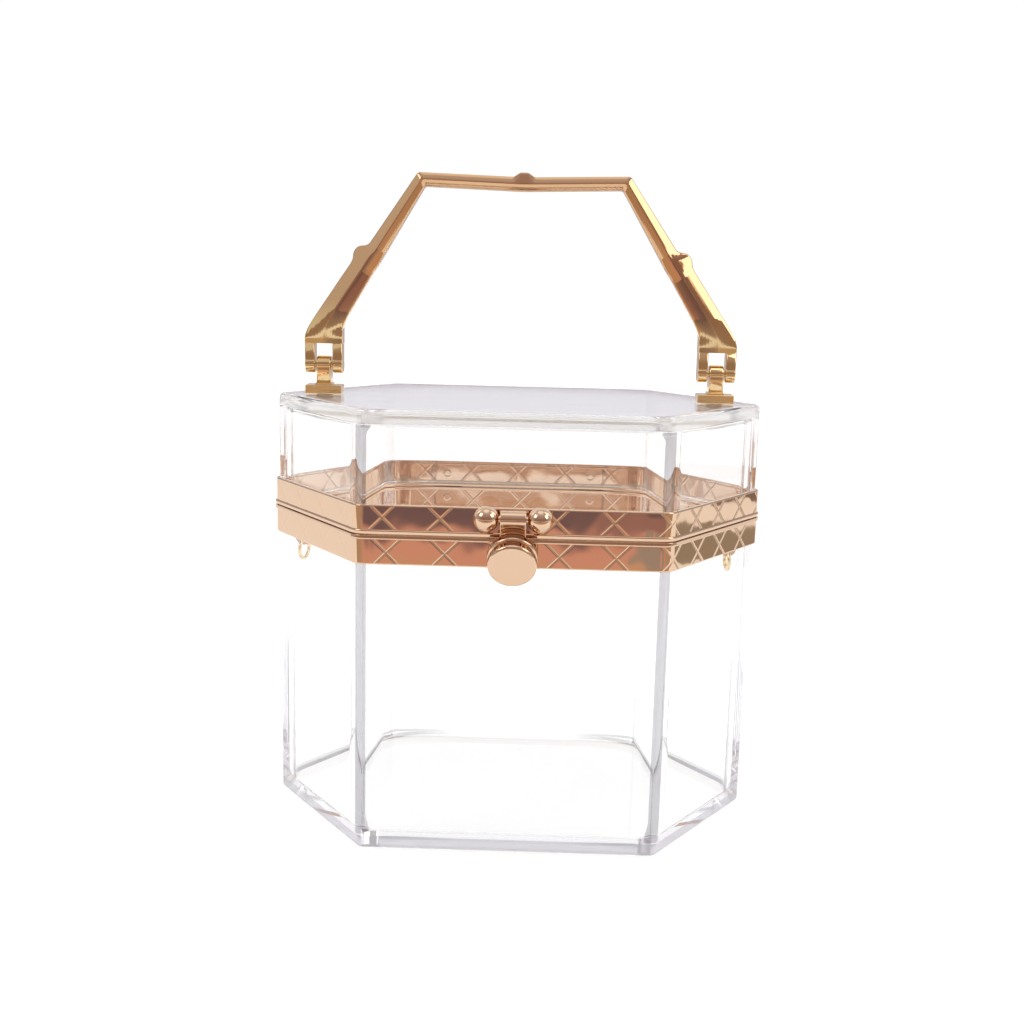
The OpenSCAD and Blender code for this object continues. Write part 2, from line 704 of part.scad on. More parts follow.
// Cast arch swept through its sections
module arch() {
  sides = 6;
  ends = len(sections) - 1;
  points = [for (s = sections) each ring_of(s)];
  walls = [
    for (j = [0 : ends - 1]) for (i = [0 : sides - 1])
      let (n = (i + 1) % sides)
        each [
          [j * sides + i, j * sides + n, (j + 1) * sides + n],
          [j * sides + i, (j + 1) * sides + n, (j + 1) * sides + i]
        ]
  ];
  caps = [[for (i = [0 : sides - 1]) sides - 1 - i], [for (i = [0 : sides - 1]) ends * sides + i]];
  polyhedron(points, concat(walls, caps));
}

// Knot with sloped ends, standing h proud of the line z = 0 and sunk below it
module knot(h, foot_l, crest_l, sunk) {
  rotate([90, 0, 0]) translate([0, 0, -knot_d / 2]) linear_extrude(knot_d) polygon([
    [-foot_l / 2, -sunk], [foot_l / 2, -sunk], [foot_l / 2, 0],
    [crest_l / 2, h], [-crest_l / 2, h], [-foot_l / 2, 0]
  ]);
}

// One fork's two prongs with their rounded ends
module prongs(side) {
  for (place = [fork_inner_x + prong_inset, fork_outer_x - prong_inset - prong_w])
    translate([side > 0 ? place : -place - prong_w, 0, 0]) {
      translate([0, -prong_d / 2, pin_z]) cube([prong_w, prong_d, fork_rise + cut]);
      translate([0, 0, pin_z]) rotate([0, 90, 0])
        cylinder(h = prong_w, d = prong_end_d, $fn = round_fn);
    }
}

module handle_bow() {
  leg_turn = 90 - atan2(leg_dir[1], -leg_dir[0]);
  color(pale_gold) difference() {
    union() {
      arch();
      translate([0, 0, bar_z - bar_sag])
        knot(bar_knot_h, knot_l * bar_knot_h / knot_h, knot_crest_l, bar_t / 2);
      for (side = [-1, 1]) {
        prongs(side);
        translate([side * knot_mid[0], 0, knot_mid[1]]) rotate([0, side * (90 - leg_turn), 0])
          knot(knot_h, knot_l, knot_crest_l, leg_high_w / 2);
      }
    }
    for (side = [-1, 1]) translate([side * joint_x, 0, pin_z]) rotate([0, 90, 0])
      cylinder(h = fork_w + 2 * cut, d = handle_pin_d, center = true, $fn = round_fn);
  }
}

module handle_pin(side) {
  color(pale_gold) translate([side * joint_x, 0, pin_z]) rotate([0, 90, 0])
    cylinder(h = fork_w - 2 * handle_pin_inset - 2 * prong_inset, d = handle_pin_d,
      center = true, $fn = round_fn);
}

module handle_pin_left() { handle_pin(-1); }
module handle_pin_right() { handle_pin(1); }

base_shell();
lower_frame();
lower_hinge_leaf_left();
lower_hinge_leaf_right();
lower_rivets();
hinge_pin_left();
hinge_pin_right();
catch_magnet();
ring_lug_left();
ring_lug_right();
lid_shell();
upper_frame();
upper_hinge_leaf_left();
upper_hinge_leaf_right();
upper_rivets();
clasp_ball_left();
clasp_ball_right();
clasp_pin();
handle_mount_left();
handle_mount_right();
mount_screw_left();
mount_screw_right();
hasp_leaf();
clasp_knob();
handle_bow();
handle_pin_left();
handle_pin_right();
strap_ring_left();
strap_ring_right();
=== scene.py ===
# %% [markdown]
# # A clear card box with gold fittings
#
# The box is two clear moulded shells, edged with gold sheet-metal frames that meet at a split
# line. Two hinges join the frames at the back, a ball hasp with a turned knob closes them at the
# front, and a cast handle folds on two forked joints on the lid.
#
# Each piece below is a surface worked out with numpy: an outline or a profile is an array, and a
# whole piece comes from a few array sums. The pieces ride on the bodies of the CAD model, which
# gives every place and size.

# %% Start from the frame
import math

import bpy
import numpy as np
from mathutils import Matrix


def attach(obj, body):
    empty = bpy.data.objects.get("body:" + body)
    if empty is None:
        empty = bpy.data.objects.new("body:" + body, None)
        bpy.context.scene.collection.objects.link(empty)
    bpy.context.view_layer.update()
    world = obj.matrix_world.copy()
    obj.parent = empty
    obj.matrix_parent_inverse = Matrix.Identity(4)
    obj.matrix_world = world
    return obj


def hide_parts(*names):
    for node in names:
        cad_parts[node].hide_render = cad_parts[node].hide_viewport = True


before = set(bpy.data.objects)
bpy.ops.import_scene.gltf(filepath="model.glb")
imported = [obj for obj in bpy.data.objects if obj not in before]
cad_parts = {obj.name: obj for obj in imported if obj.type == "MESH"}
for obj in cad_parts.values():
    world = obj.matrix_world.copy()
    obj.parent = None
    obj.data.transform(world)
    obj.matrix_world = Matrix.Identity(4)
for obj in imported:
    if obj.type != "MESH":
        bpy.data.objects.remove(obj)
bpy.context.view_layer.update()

MM = 0.001

# %% [markdown]
# ## Tools for shapes
#
# Nearly every piece here is an outline that is carried along a path. A slab, a hoop and a box
# wall all have the same recipe: at each step of the path the outline moves in or out by some
# distance d and up by some height z. A turned piece is the same with a circle as its outline.
# Rounding the corners of both the outline and the path gives the soft edges that catch light.
#
# The shading normals are worked out too, not guessed from the faces. On polished metal a wrong
# normal shows at once as a bent reflection, so flat walls must stay flat right up to the bend.


# %% Rounded paths and outlines
def unit(v):
    """Each row of v divided by its length."""
    return v / np.linalg.norm(v, axis=-1, keepdims=True)


def rounded(corners, radii, steps=4, closed=True):
    """Path through the corners, each replaced by an arc that touches both of its sides.

    A corner that turns by t gets an arc that starts radius * tan(t / 2) before it. Points of the
    arc are centre - radius * left(heading), and the normal there points to the right of the way
    along the path. Returns points and normals.
    """
    corners = np.asarray(corners, float)
    radii = np.broadcast_to(np.asarray(radii, float), len(corners))[:, None]
    before = unit(corners - np.roll(corners, 1, 0))
    after = unit(np.roll(corners, -1, 0) - corners)
    cross = before[:, 0] * after[:, 1] - before[:, 1] * after[:, 0]
    turn = np.arctan2(cross, (before * after).sum(1))
    sign = np.where(turn < 0, -1.0, 1.0)[:, None]
    left = np.stack([-before[:, 1], before[:, 0]], 1)
    centre = corners - before * radii * np.tan(np.abs(turn)[:, None] / 2) + sign * radii * left
    start = np.arctan2(before[:, 1], before[:, 0])
    heading = start[:, None] + turn[:, None] * np.linspace(0, 1, steps + 1)
    right = np.stack([np.sin(heading), -np.cos(heading)], -1)
    points = centre[:, None] + (sign * radii)[:, None] * right
    if closed:
        return points.reshape(-1, 2), right.reshape(-1, 2)
    first = np.array([after[0, 1], -after[0, 0]])
    last = np.array([before[-1, 1], -before[-1, 0]])
    return (
        np.concatenate([corners[:1], points[1:-1].reshape(-1, 2), corners[-1:]]),
        np.concatenate([[first], right[1:-1].reshape(-1, 2), [last]]),
    )


def moved_out(corners, d):
    """Corners of the same outline with every side moved out by d.

    Where two sides with outward normals n and m meet, the corner moves by
    d * (n + m) / (1 + n . m).
    """
    corners = np.asarray(corners, float)
    side = unit(np.roll(corners, -1, 0) - corners)
    n = np.stack([side[:, 1], -side[:, 0]], 1)
    m = np.roll(n, 1, 0)
    return corners + d * (n + m) / (1 + (n * m).sum(1, keepdims=True))


def outline(corners, radii, steps=4):
    """Outline as a function of d, the distance that it is moved out. Its radii grow by d too."""
    return lambda d: rounded(moved_out(corners, d), np.maximum(np.asarray(radii) + d, 0.01), steps)


def circle(steps=48):
    """Outline of a turned piece: d is the radius itself."""
    turn = np.linspace(0, 2 * math.pi, steps, endpoint=False)
    ring = np.stack([np.cos(turn), np.sin(turn)], 1)
    return lambda d: (ring * d, ring)


# %% Surfaces from an outline and a path
def raised(flat, height):
    """Array of (x, y, z) from an array of (x, y), with a height for each place or for all."""
    return np.concatenate([flat, np.broadcast_to(height, flat.shape[:-1])[..., None]], -1)


def carried(shape, path, normals):
    """Surface of an outline carried along a path of (d, z).

    Row v of the surface is the outline moved out by d[v] at height z[v]. With outline normal n
    and path normal (a, b), the surface normal is (a * n, b).
    """
    rings = [shape(d) for d in path[:, 0]]
    points = np.stack([raised(p, z) for (p, _), z in zip(rings, path[:, 1])])
    facing = np.stack([raised(n * a, b) for (_, n), (a, b) in zip(rings, normals)])
    return points, facing


def shell(points, normals, tube=False):
    """Closed skin over a grid of rows: its points, normals and faces.

    Columns run round and always close up. Rows close up too in a tube, and otherwise one face
    covers the first row and one the last.
    """
    rows, cols = points.shape[:2]
    v, u = np.meshgrid(np.arange(rows if tube else rows - 1), np.arange(cols), indexing="ij")
    w, t = (v + 1) % rows, (u + 1) % cols
    quads = np.stack([v * cols + u, v * cols + t, w * cols + t, w * cols + u], -1).reshape(-1, 4)
    ends = [] if tube else [np.arange(cols)[::-1][None], (rows - 1) * cols + np.arange(cols)[None]]
    return points.reshape(-1, 3), normals.reshape(-1, 3), [quads, *ends]


def profile(corners, radii, steps=4):
    """Rounded open path without its end corners, which only give the way in and the way out."""
    path, facing = rounded(corners, radii, steps, closed=False)
    return path[1:-1], facing[1:-1]


def slab(corners, radii, z0, z1, edge, steps=4):
    """Plate with rounded edges: the outline carried up its side, from z0 to z1."""
    side = profile([[-2 * edge, z0], [0, z0], [0, z1], [-2 * edge, z1]], edge, 3)
    return shell(*carried(outline(corners, radii, steps), *side))


def turned(corners, radii, steps=48):
    """Turned piece: a profile of (radius, height) corners, rounded and spun about the height."""
    return shell(*carried(circle(steps), *profile(corners, radii)))


def rod(length, radius, edge, steps=32):
    """Turned rod along the height with rounded ends, its middle at 0."""
    half = length / 2
    corners = [[0, -half], [radius, -half], [radius, half], [0, half]]
    return turned(corners, [0, edge, edge, 0], steps)


def placed(skin, origin, x=(1, 0, 0), y=(0, 1, 0), z=(0, 0, 1)):
    """The skin with its own axes laid along x, y and z and its origin moved."""
    points, normals, faces = skin
    axes = np.array([x, y, z], float)
    return points @ axes + np.asarray(origin, float), normals @ axes, faces


# Turns that lay a piece's height along the box's axes
ALONG_X = dict(x=(0, 1, 0), y=(0, 0, 1), z=(1, 0, 0))
ALONG_Y = dict(x=(0, 0, 1), y=(1, 0, 0), z=(0, 1, 0))


def mirrored(skin):
    """The skin's mirror image across the middle plane x = 0, with its faces turned to match."""
    points, normals, faces = skin
    return points * [-1, 1, 1], normals * [-1, 1, 1], [f[:, ::-1] for f in faces]


def stood(skin, z, up):
    """The skin stood at height z. With up = -1 it is its mirror image, hanging down from z."""
    points, normals, faces = skin
    faces = faces if up > 0 else [f[:, ::-1] for f in faces]
    return points * [1, 1, up] + [0, 0, z], normals * [1, 1, up], faces


# %% From arrays to Blender pieces
def enclosed(skin):
    """Volume inside a closed skin, in cubic mm: a sixth of the sum of a . (b x c) over triangles.

    It is below zero for a skin that is inside out.
    """
    points, _, faces = skin
    total = 0.0
    for group in faces:
        a, b, c = points[group[:, :1]], points[group[:, 1:-1]], points[group[:, 2:]]
        total += (a * np.cross(b, c)).sum() / 6
    return total


def put(name, data):
    """New object in the scene."""
    thing = bpy.data.objects.new(name, data)
    bpy.context.scene.collection.objects.link(thing)
    return thing


def make(name, skins, finish, body, *stands_for):
    """One Blender object from one or more closed skins, in millimetres. It rides on a body and
    stands for nodes of the CAD model."""
    starts = np.cumsum([0] + [len(points) for points, _, _ in skins])
    points = np.concatenate([points for points, _, _ in skins])
    normals = unit(np.concatenate([normals for _, normals, _ in skins]))
    faces = [f + start for (_, _, group), start in zip(skins, starts) for f in group]
    sizes = np.concatenate([np.full(len(f), f.shape[1]) for f in faces])
    mesh = bpy.data.meshes.new(name)
    mesh.vertices.add(len(points))
    mesh.vertices.foreach_set("co", (points * MM).astype(np.float32).ravel())
    mesh.loops.add(int(sizes.sum()))
    around = np.concatenate([f.ravel() for f in faces])
    mesh.loops.foreach_set("vertex_index", around.astype(np.int32))
    mesh.polygons.add(len(sizes))
    mesh.polygons.foreach_set("loop_start", (np.cumsum(sizes) - sizes).astype(np.int32))
    mesh.polygons.foreach_set("use_smooth", np.ones(len(sizes), bool))
    mesh.update(calc_edges=True)
    mesh.normals_split_custom_set_from_vertices(normals)
    mesh.materials.append(finish)
    piece = put(name, mesh)
    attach(piece, body)
    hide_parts(*stands_for)
    size = np.round(np.ptp(points, 0), 1).tolist()
    smallest = min(enclosed(skin) for skin in skins)
    print(f"{name}: {len(sizes)} faces, {size} mm, smallest skin {smallest:.1f} mm3")
    return piece


# %% [markdown]
# ## The plan of the box
#
# Seen from above, the box has six sides: a flat front and back, and two slanted sides that meet in
# a point at the left and right. Both shells and both frames follow this plan, so it comes first.
# The shells are 3 mm thick, with a thicker floor and top.

# %% The plan of the box
HALF_W, HALF_F, HALF_D = 80.5, 46.75, 47.25
PLAN = np.array([
    [HALF_W, 0], [HALF_F, HALF_D], [-HALF_F, HALF_D],
    [-HALF_W, 0], [-HALF_F, -HALF_D], [HALF_F, -HALF_D],
])
R, BR, BL, L, FL, FR = range(6)
BOX_H, SPLIT_Z, SEAM = 139.0, 101.6, 0.3
FLOOR_T, TOP_T, FLANGE_T, WALL = 4.7, 4.5, 1.0, 3.0
UPPER_Z, LOWER_Z = SPLIT_Z + SEAM / 2, SPLIT_Z - SEAM / 2
print("plan corners, mm:", PLAN.tolist())

# %% [markdown]
# ## Finishes
#
# Four finishes cover the box. The shells are clear moulded acrylic: light goes straight through
# the walls, and only the edges show: light from the side is caught there, and painted grey shade
# in the plastic's colour darkens them. The frames and the clasp are brass sheet with a
# mirror-polished light rose gold plate, so they take nearly all their look from what they reflect.
# The cast handle, its mounts and the rings have a pale gold plate over a polished casting, which
# is never quite as flat as sheet. The magnet and the screws have a plain bright nickel plate.
#
# Real polish is not perfect: a buffing wheel leaves fine lines and low waves. A slow noise in the
# roughness and a tiny bump give both.
#
# One function adds a node. Two more put nodes together: a mask is a product of smooth steps, and
# layers are colours mixed one over another, each by its own mask.


# %% Colour and node helpers
def colour(code, strength=1.0):
    """Linear RGBA of an sRGB hex value: strength * ((c + 0.055) / 1.055) ** 2.4 above the toe."""
    c = np.array([int(code[i : i + 2], 16) for i in (0, 2, 4)]) / 255
    linear = np.where(c > 0.04045, ((c + 0.055) / 1.055) ** 2.4, c / 12.92)
    return (*(strength * linear).tolist(), 1.0)


def add(tree, kind, settings=()):
    """Adds one shader node. A setting goes to the input or the property that it names, and one
    that is another node's output is linked."""
    node = tree.nodes.new("ShaderNode" + kind)
    for key, value in dict(settings).items():
        if isinstance(value, bpy.types.NodeSocket):
            tree.links.new(value, node.inputs[key])
        elif isinstance(key, int) or key in node.inputs:
            node.inputs[key].default_value = value
        else:
            setattr(node, key, value)
    return node


def mask(tree, steps, length=1.0):
    """Product of smooth steps. Each is (value, where it is 0, where it is 1), in units of length,
    and a fourth number lifts its low side from 0."""
    product = None
    for value, low, high, *lowest in steps:
        step = add(tree, "MapRange", {
            "interpolation_type": "SMOOTHSTEP", "Value": value, "From Min": low * length,
            "From Max": high * length, "To Min": lowest[0] if lowest else 0.0,
        }).outputs[0]
        if product is not None:
            step = add(tree, "Math", {"operation": "MULTIPLY", 0: product, 1: step}).outputs[0]
        product = step
    return product


def layered(tree, base, layers):
    """Colour with layers mixed over it, each (share, colour). The last one is on top."""
    for share, over in layers:
        base = add(tree, "Mix", {"data_type": "RGBA", 0: share, 6: base, 7: over}).outputs[2]
    return base


def new_finish(name):
    """Empty node material with its output node."""
    finish = bpy.data.materials.new(name)
    finish.use_nodes = True
    finish.node_tree.nodes.clear()
    return finish, finish.node_tree, finish.node_tree.nodes.new("ShaderNodeOutputMaterial")


# %% Gold plate and nickel plate
def polished_plate(name, code, roughness, wave_mm, wave_height_mm, upper=None):
    """Polished plate. Roughness drifts between two values over DRIFT mm, and a bump of the given
    wavelength and height gives the low waves that polishing leaves. An upper colour takes over
    from the lower one as the height goes from TURN[0] to TURN[1] mm."""
    finish, tree, out = new_finish(name)
    place = add(tree, "TexCoord").outputs["Object"]
    drift = add(tree, "TexNoise", {"Vector": place, "Scale": 1 / (DRIFT * MM), "Detail": 3.0})
    rough = add(tree, "MapRange", {
        "Value": drift.outputs["Fac"], "From Min": 0.3, "From Max": 0.7,
        "To Min": roughness[0], "To Max": roughness[1],
    })
    waves = add(tree, "TexNoise", {"Vector": place, "Scale": 1 / (wave_mm * MM), "Detail": 1.0})
    bump = add(tree, "Bump", {"Height": waves.outputs["Fac"], "Distance": wave_height_mm * MM})
    tone = colour(code)
    if upper:
        height = add(tree, "SeparateXYZ", {0: place}).outputs["Z"]
        turned_to = {"Value": height, "From Min": TURN[0] * MM, "From Max": TURN[1] * MM}
        share = add(tree, "MapRange", turned_to).outputs[0]
        tone = layered(tree, tone, [(share, colour(upper))])
    metal = add(tree, "BsdfPrincipled", {
        "Base Color": tone, "Metallic": 1.0,
        "Roughness": rough.outputs[0], "Normal": bump.outputs[0],
    })
    tree.links.new(metal.outputs["BSDF"], out.inputs["Surface"])
    return finish


DRIFT, TURN = 12.0, (161.0, 170.0)
# Nearly a mirror, on sheet: its reflections are sharp and wander a little.
rose_gold = polished_plate("rose_gold_plate", "D8B89C", (0.025, 0.07), 6.0, 0.006)
# A shade softer, on castings. The handle above the fork is rosier than the mounts below it.
pale_gold = polished_plate("pale_gold_plate", "E3C595", (0.05, 0.11), 5.0, 0.012, upper="CDA681")
# Cool and grey beside the gold.
nickel = polished_plate("bright_nickel_plate", "CFCFD2", (0.06, 0.12), 3.0, 0.006)
print("plates:", rose_gold.name, pale_gold.name, nickel.name)


# %% Clear acrylic
# The first two numbers place the painted grey shade of the front corners; the third is the share
# of an edge face that turns from clear to its painted grey shade.
PILLAR_X, FLARE = 44.25, 1.3
UNDER_TOP = BOX_H - TOP_T
MILK_AND_SHADE_SHARE = 0.38


def clear_acrylic():
    """Clear moulded acrylic, IOR 1.49. A thin wall is colourless. Over the 90 mm of a floor seen
    edge-on, the plastic takes a faint lavender tint.

    The skin of the two front corners is tinted grey from PILLAR_X mm off the middle, and from
    FLARE mm nearer where the corner runs into the floor or the top. This grey is painted shade:
    it stands for the light that a thick corner throws to the side, into the dim part of the room.
    A fainter painted grey shade lies in the fillet along the back of the floor, weakest at the
    middle.

    The sawn and flame-polished edge faces of the floor and the top scatter a part of the light
    that falls on them, and their pale grey is painted shade, darker on the floor than on the top.
    The scatter and the painted shade clear towards the back of the floor.
    """
    finish, tree, out = new_finish("clear_moulded_acrylic")
    place = add(tree, "TexCoord").outputs["Object"]
    flow = add(tree, "TexNoise", {"Vector": place, "Scale": 1 / (18 * MM), "Detail": 1.0})
    bump = add(tree, "Bump", {"Height": flow.outputs["Fac"], "Distance": 0.012 * MM})
    x, y, z = add(tree, "SeparateXYZ", {0: place}).outputs
    across = add(tree, "Math", {"operation": "ABSOLUTE", 0: x}).outputs[0]

    low_end = mask(tree, [(z, 12, FLOOR_T)], MM)
    high_end = mask(tree, [(z, UNDER_TOP - 3, UNDER_TOP)], MM)
    ends = add(tree, "Math", {"operation": "ADD", 0: low_end, 1: high_end}).outputs[0]
    spread = add(
        tree, "Math", {"operation": "MULTIPLY_ADD", 0: ends, 1: FLARE * MM, 2: across}
    ).outputs[0]
    over_floor, under_top = (z, FLOOR_T, FLOOR_T + 0.2), (z, UNDER_TOP, UNDER_TOP - 0.2)
    # Painted shade: grey down the front corners, and a fainter grey in the fillet at the back of
    # the floor.
    painted_pillar_shade = mask(tree, [
        over_floor, under_top,
        (spread, PILLAR_X, PILLAR_X + 0.15), (y, -HALF_D + 1.65, -HALF_D + 1.35),
    ], MM)
    fillet = mask(tree, [
        over_floor, (z, FLOOR_T + 1.6, FLOOR_T + 0.9), (y, 0, 3), (across, 14, 42, 0.05),
    ], MM)
    # Edge faces of the floor and the top: they scatter a part of the light, and their grey is
    # painted shade.
    low_edge = mask(tree, [(z, 0.2, 0.5), (z, FLOOR_T - 0.1, FLOOR_T - 0.5), (y, 40, 20)], MM)
    high_edge = mask(tree, [
        (z, UNDER_TOP + 0.1, UNDER_TOP + 0.5), (z, BOX_H - 0.2, BOX_H - 0.7),
    ], MM)
    milk_and_painted_shade = add(tree, "Math", {"operation": "MAXIMUM", 0: low_edge, 1: high_edge}).outputs[0]
    clear = add(tree, "MapRange", {"Value": milk_and_painted_shade, "To Min": 1.0, "To Max": 1 - MILK_AND_SHADE_SHARE})
    # Painted shade: the greys of the edge faces, the back fillet and the front corners.
    tone = layered(tree, colour("FFFFFF"), [
        (low_edge, colour("CBC9CF")), (high_edge, colour("F5F4F3")),
        (fillet, colour("ABA9AC")), (painted_pillar_shade, colour("A19FA5")),
    ])
    plastic = add(tree, "BsdfPrincipled", {
        "Base Color": tone, "IOR": 1.49, "Roughness": 0.0,
        "Transmission Weight": clear.outputs[0], "Normal": bump.outputs[0],
    })
    tint = add(tree, "VolumeAbsorption", {"Color": colour("D9D3E2"), "Density": 3.0})
    tree.links.new(plastic.outputs["BSDF"], out.inputs["Surface"])
    tree.links.new(tint.outputs["Volume"], out.inputs["Volume"])
    return finish


acrylic = clear_acrylic()
print("plastic:", acrylic.name)

# %% [markdown]
# ## The clear shells
#
# Each shell is a six-sided cup, moulded in one piece, so every corner has a radius. The inner
# corners are rounder than the outer ones, which makes each corner a little lens: it bends what is
# seen behind it. The grey that each front corner shows is painted shade in the plastic's colour.
# The two back corners are rounder still, so that little of them shows from the front.
#
# One path serves for the whole cup. It runs from the middle of the floor outwards, up the
# outside, over the rim, down the inside and back over the floor. A thin line of glue lies between
# the rim and the frame's flange. Without it the two faces would fall together, and the walls,
# which guide light like a pipe, would look black from above and not gold.

# %% Make the cups
OUTER_R = 3.0
INNER_R = np.array([12.0, 32.0, 32.0, 12.0, 12.0, 12.0])
INNER_FOOT_R, GLUE_T = 1.6, 0.05
base_top, lid_bottom = LOWER_Z - FLANGE_T, UPPER_Z + FLANGE_T


def cup(closed_z, open_z, plate_t, rim_r, steps=20):
    """Six-sided cup. Its path is (d, z). Its corner radius is OUTER_R + d outside, and
    INNER_R + WALL + d inside, with one value for each corner.

    closed_z is the level of its flat plate's outer face and open_z that of its open rim. The
    path is written for a cup that stands upright, and a lid is that cup turned over in z.
    """
    height = abs(open_z - closed_z)
    outside = profile(
        [[-2 * rim_r, 0], [0, 0], [0, height], [-0.5, height]], [0, rim_r, 0.25, 0], 6
    )
    inside = profile(
        [[-2.5, height], [-WALL, height], [-WALL, plate_t], [-WALL - 4, plate_t]],
        [0, 0.25, INNER_FOOT_R, 0], 6,
    )
    outer = carried(outline(PLAN, OUTER_R, steps), *outside)
    inner = carried(outline(PLAN, INNER_R + WALL, steps), *inside)
    skin = shell(*(np.concatenate(pair) for pair in zip(outer, inner)))
    return stood(skin, closed_z, 1 if open_z > closed_z else -1)


base_cup = cup(0.0, base_top - GLUE_T, FLOOR_T, 1.6)
lid_cup = cup(BOX_H, lid_bottom + GLUE_T, TOP_T, 1.8)
for piece in (
    make("clear_base", [base_cup], acrylic, "base", "base_shell"),
    make("clear_lid", [lid_cup], acrylic, "lid", "lid_shell"),
):
    piece.visible_shadow = False  # clear plastic lets the soft boxes light what is behind it

# %% [markdown]
# ## The gold frames
#
# Each frame starts as a strip of thin brass sheet. Crossed lines are pressed into it, so they
# stand out on its inner face too, and then it is bent round the box and its ends meet at the
# middle of the back. A rounded bead along the meeting edge stiffens it.
#
# The sheet is a grid of cells about 0.3 mm wide, fine enough that the pressed lines are real
# dents: each one lowers the surface by depth * exp(-(distance / width) ** 2). The sheet is also
# never quite flat. Its low waves and the small creases at its bends are sums of sine waves, and
# they are what makes its reflections wander.

# %% The strip's own coordinates
BAND_T, BAND_GAP, BAND_R, BEAD_H = 0.8, 0.45, 5.2, 1.4
BAND_OUT = BAND_GAP + BAND_T
CELL = 0.3
band_corners = moved_out(PLAN, BAND_OUT)


def measured(points, normals):
    """Distance of each point along a closed path, and the path as a function of distance."""
    ring, facing = np.vstack([points, points[:1]]), np.vstack([normals, normals[:1]])
    knots = np.concatenate([[0], np.cumsum(np.linalg.norm(np.diff(ring, axis=0), axis=1))])

    def at(where):
        place, n = (
            np.stack([np.interp(where, knots, values[:, k]) for k in (0, 1)], 1)
            for values in (ring, facing)
        )
        return place, unit(n)

    return knots, at


def strip_stations():
    """Places and normals along the bent strip's outer face, in equal steps of about one cell,
    with the distance s along it and its whole length."""
    knots, at = measured(*rounded(band_corners, BAND_R, 40))
    total = knots[-1]
    where = np.linspace(0, total, int(total / CELL), endpoint=False)
    return *at(where), where, total


strip_at, strip_n, strip_s, strip_total = strip_stations()
print(f"strip length {strip_total:.1f} mm in {len(strip_s)} cells")

# %% [markdown]
# ### Where the crosses go
#
# The crosses were rolled into the flat strip about 17 mm apart on the front and back and 14.5 mm
# apart on the slanted sides. Each is two 45 degree lines that run from the bead to the free edge.
# A cross is placed by a point on a face. The nearest station of the strip gives its s, so a
# cross that falls on a bend goes round it as a rolled line does.


# %% Cross places along the strip
def face_points(corner, toward, distances):
    """Points at the given distances from one corner of the strip towards another."""
    a, b = band_corners[corner], band_corners[toward]
    return a + unit(b - a) * np.asarray(distances, float)[:, None]


def stations_of(points):
    """s of the station that is nearest to each point."""
    gap = np.linalg.norm(points[:, None] - strip_at[None], axis=2)
    return strip_s[gap.argmin(1)]


def crosses(*places):
    """Station of each cross. Its place is its distance from the first corner of its face, or on
    the front and back its distance from the middle, in the order of FACES."""
    starts = [half_front, 0, 0, half_front, 0, 0]
    return stations_of(np.concatenate([
        face_points(*face, start + np.array(mm)) for face, start, mm in zip(FACES, starts, places)
    ]))


FACES = (FL, FR), (FR, R), (FL, L), (BL, BR), (BR, R), (BL, L)
half_front = band_corners[FR][0]
upper_marks = crosses(
    [-39.5, -22.05, -4.6, 12.85, 30.3], [0.6, 14.8, 29.3, 43.8, 58.3], [9.0, 23.5, 38.0, 52.5],
    [-35.0, -17.6, -0.2, 17.2, 34.6], [6.0, 20.5, 35.0, 49.5], [4.0, 18.5, 33.0, 47.5],
)
lower_marks = crosses(
    [-38.1, -20.6, -3.4, 13.9, 31.2], [2.0, 16.5, 31.0, 45.5], [6.7, 21.2, 35.7, 50.2],
    [-34.0, -16.6, 0.8, 18.2, 35.6], [7.0, 21.5, 36.0, 50.5], [5.0, 19.5, 34.0, 48.5],
)
print("crosses:", len(upper_marks), "above and", len(lower_marks), "below")


# %% Height of the sheet's surface
DENT, SEAM_DENT, LINE_W, BELLY, BEND_REACH = 0.07, 0.10, 0.25, 0.0006, 5.5


def wrapped(s, centre):
    """Distance along the closed strip from centre to s, the short way round."""
    return (s - centre + strip_total / 2) % strip_total - strip_total / 2


def bend_share(s):
    """1 at the middle of a bend, falling to 0 over about 7 mm on both sides."""
    bends = stations_of(band_corners)
    gap = np.abs(wrapped(s[..., None], bends)).min(-1)
    return np.exp(-((gap / BEND_REACH) ** 2))


def sheet_height(s, e, marks, mark_e, seed):
    """How far the sheet stands out at distance s along the strip and e from its meeting edge.

    Crosses: each line is a dent of -DENT * exp(-(distance / LINE_W) ** 2), where the distance to
    the pair of 45 degree lines is ||s - mark| - |e - middle|| / sqrt(2). Seam: the strip's ends
    meet in a fine groove at the middle of the back. Waves: long low swells all over, and shorter
    upright creases that come in only near the bends. Belly: the face falls back by BELLY times
    the square of the distance from its middle line.
    """
    along = np.abs(wrapped(s[..., None], marks)).min(-1)
    line = np.abs(along - np.abs(e - mark_e)) / math.sqrt(2)
    dents = -DENT * np.exp(-((line / LINE_W) ** 2))
    seam_s = stations_of(face_points(BL, BR, [half_front]))[0]
    seam = -SEAM_DENT * np.exp(-((wrapped(s, seam_s) / LINE_W) ** 2))
    k = 2 * math.pi / strip_total
    swell = (
        0.020 * np.sin(13 * k * s + seed) * np.sin(0.32 * e + 0.8 * seed)
        + 0.008 * np.sin(29 * k * s + 2.1 * seed + 0.35 * e)
        + 0.002 * np.sin(71 * k * s + 1.3 * seed - 0.6 * e)
    )
    crease = bend_share(s) * (
        0.010 * np.sin(1.9 * s + 0.12 * e + seed) + 0.004 * np.sin(4.3 * s - 0.2 * e + 2 * seed)
    )
    belly = -BELLY * (e - mark_e) ** 2
    return dents + seam + swell + crease + belly


# %% Make the sheet
def resampled(points, normals):
    """The same closed path with extra points, so that no step is longer than one cell."""
    knots, at = measured(points, normals)
    where = np.unique(np.round(np.concatenate([knots[:-1], np.arange(0, knots[-1], CELL)]), 4))
    return at(where[np.concatenate([[True], np.diff(where) > 0.2 * CELL])])


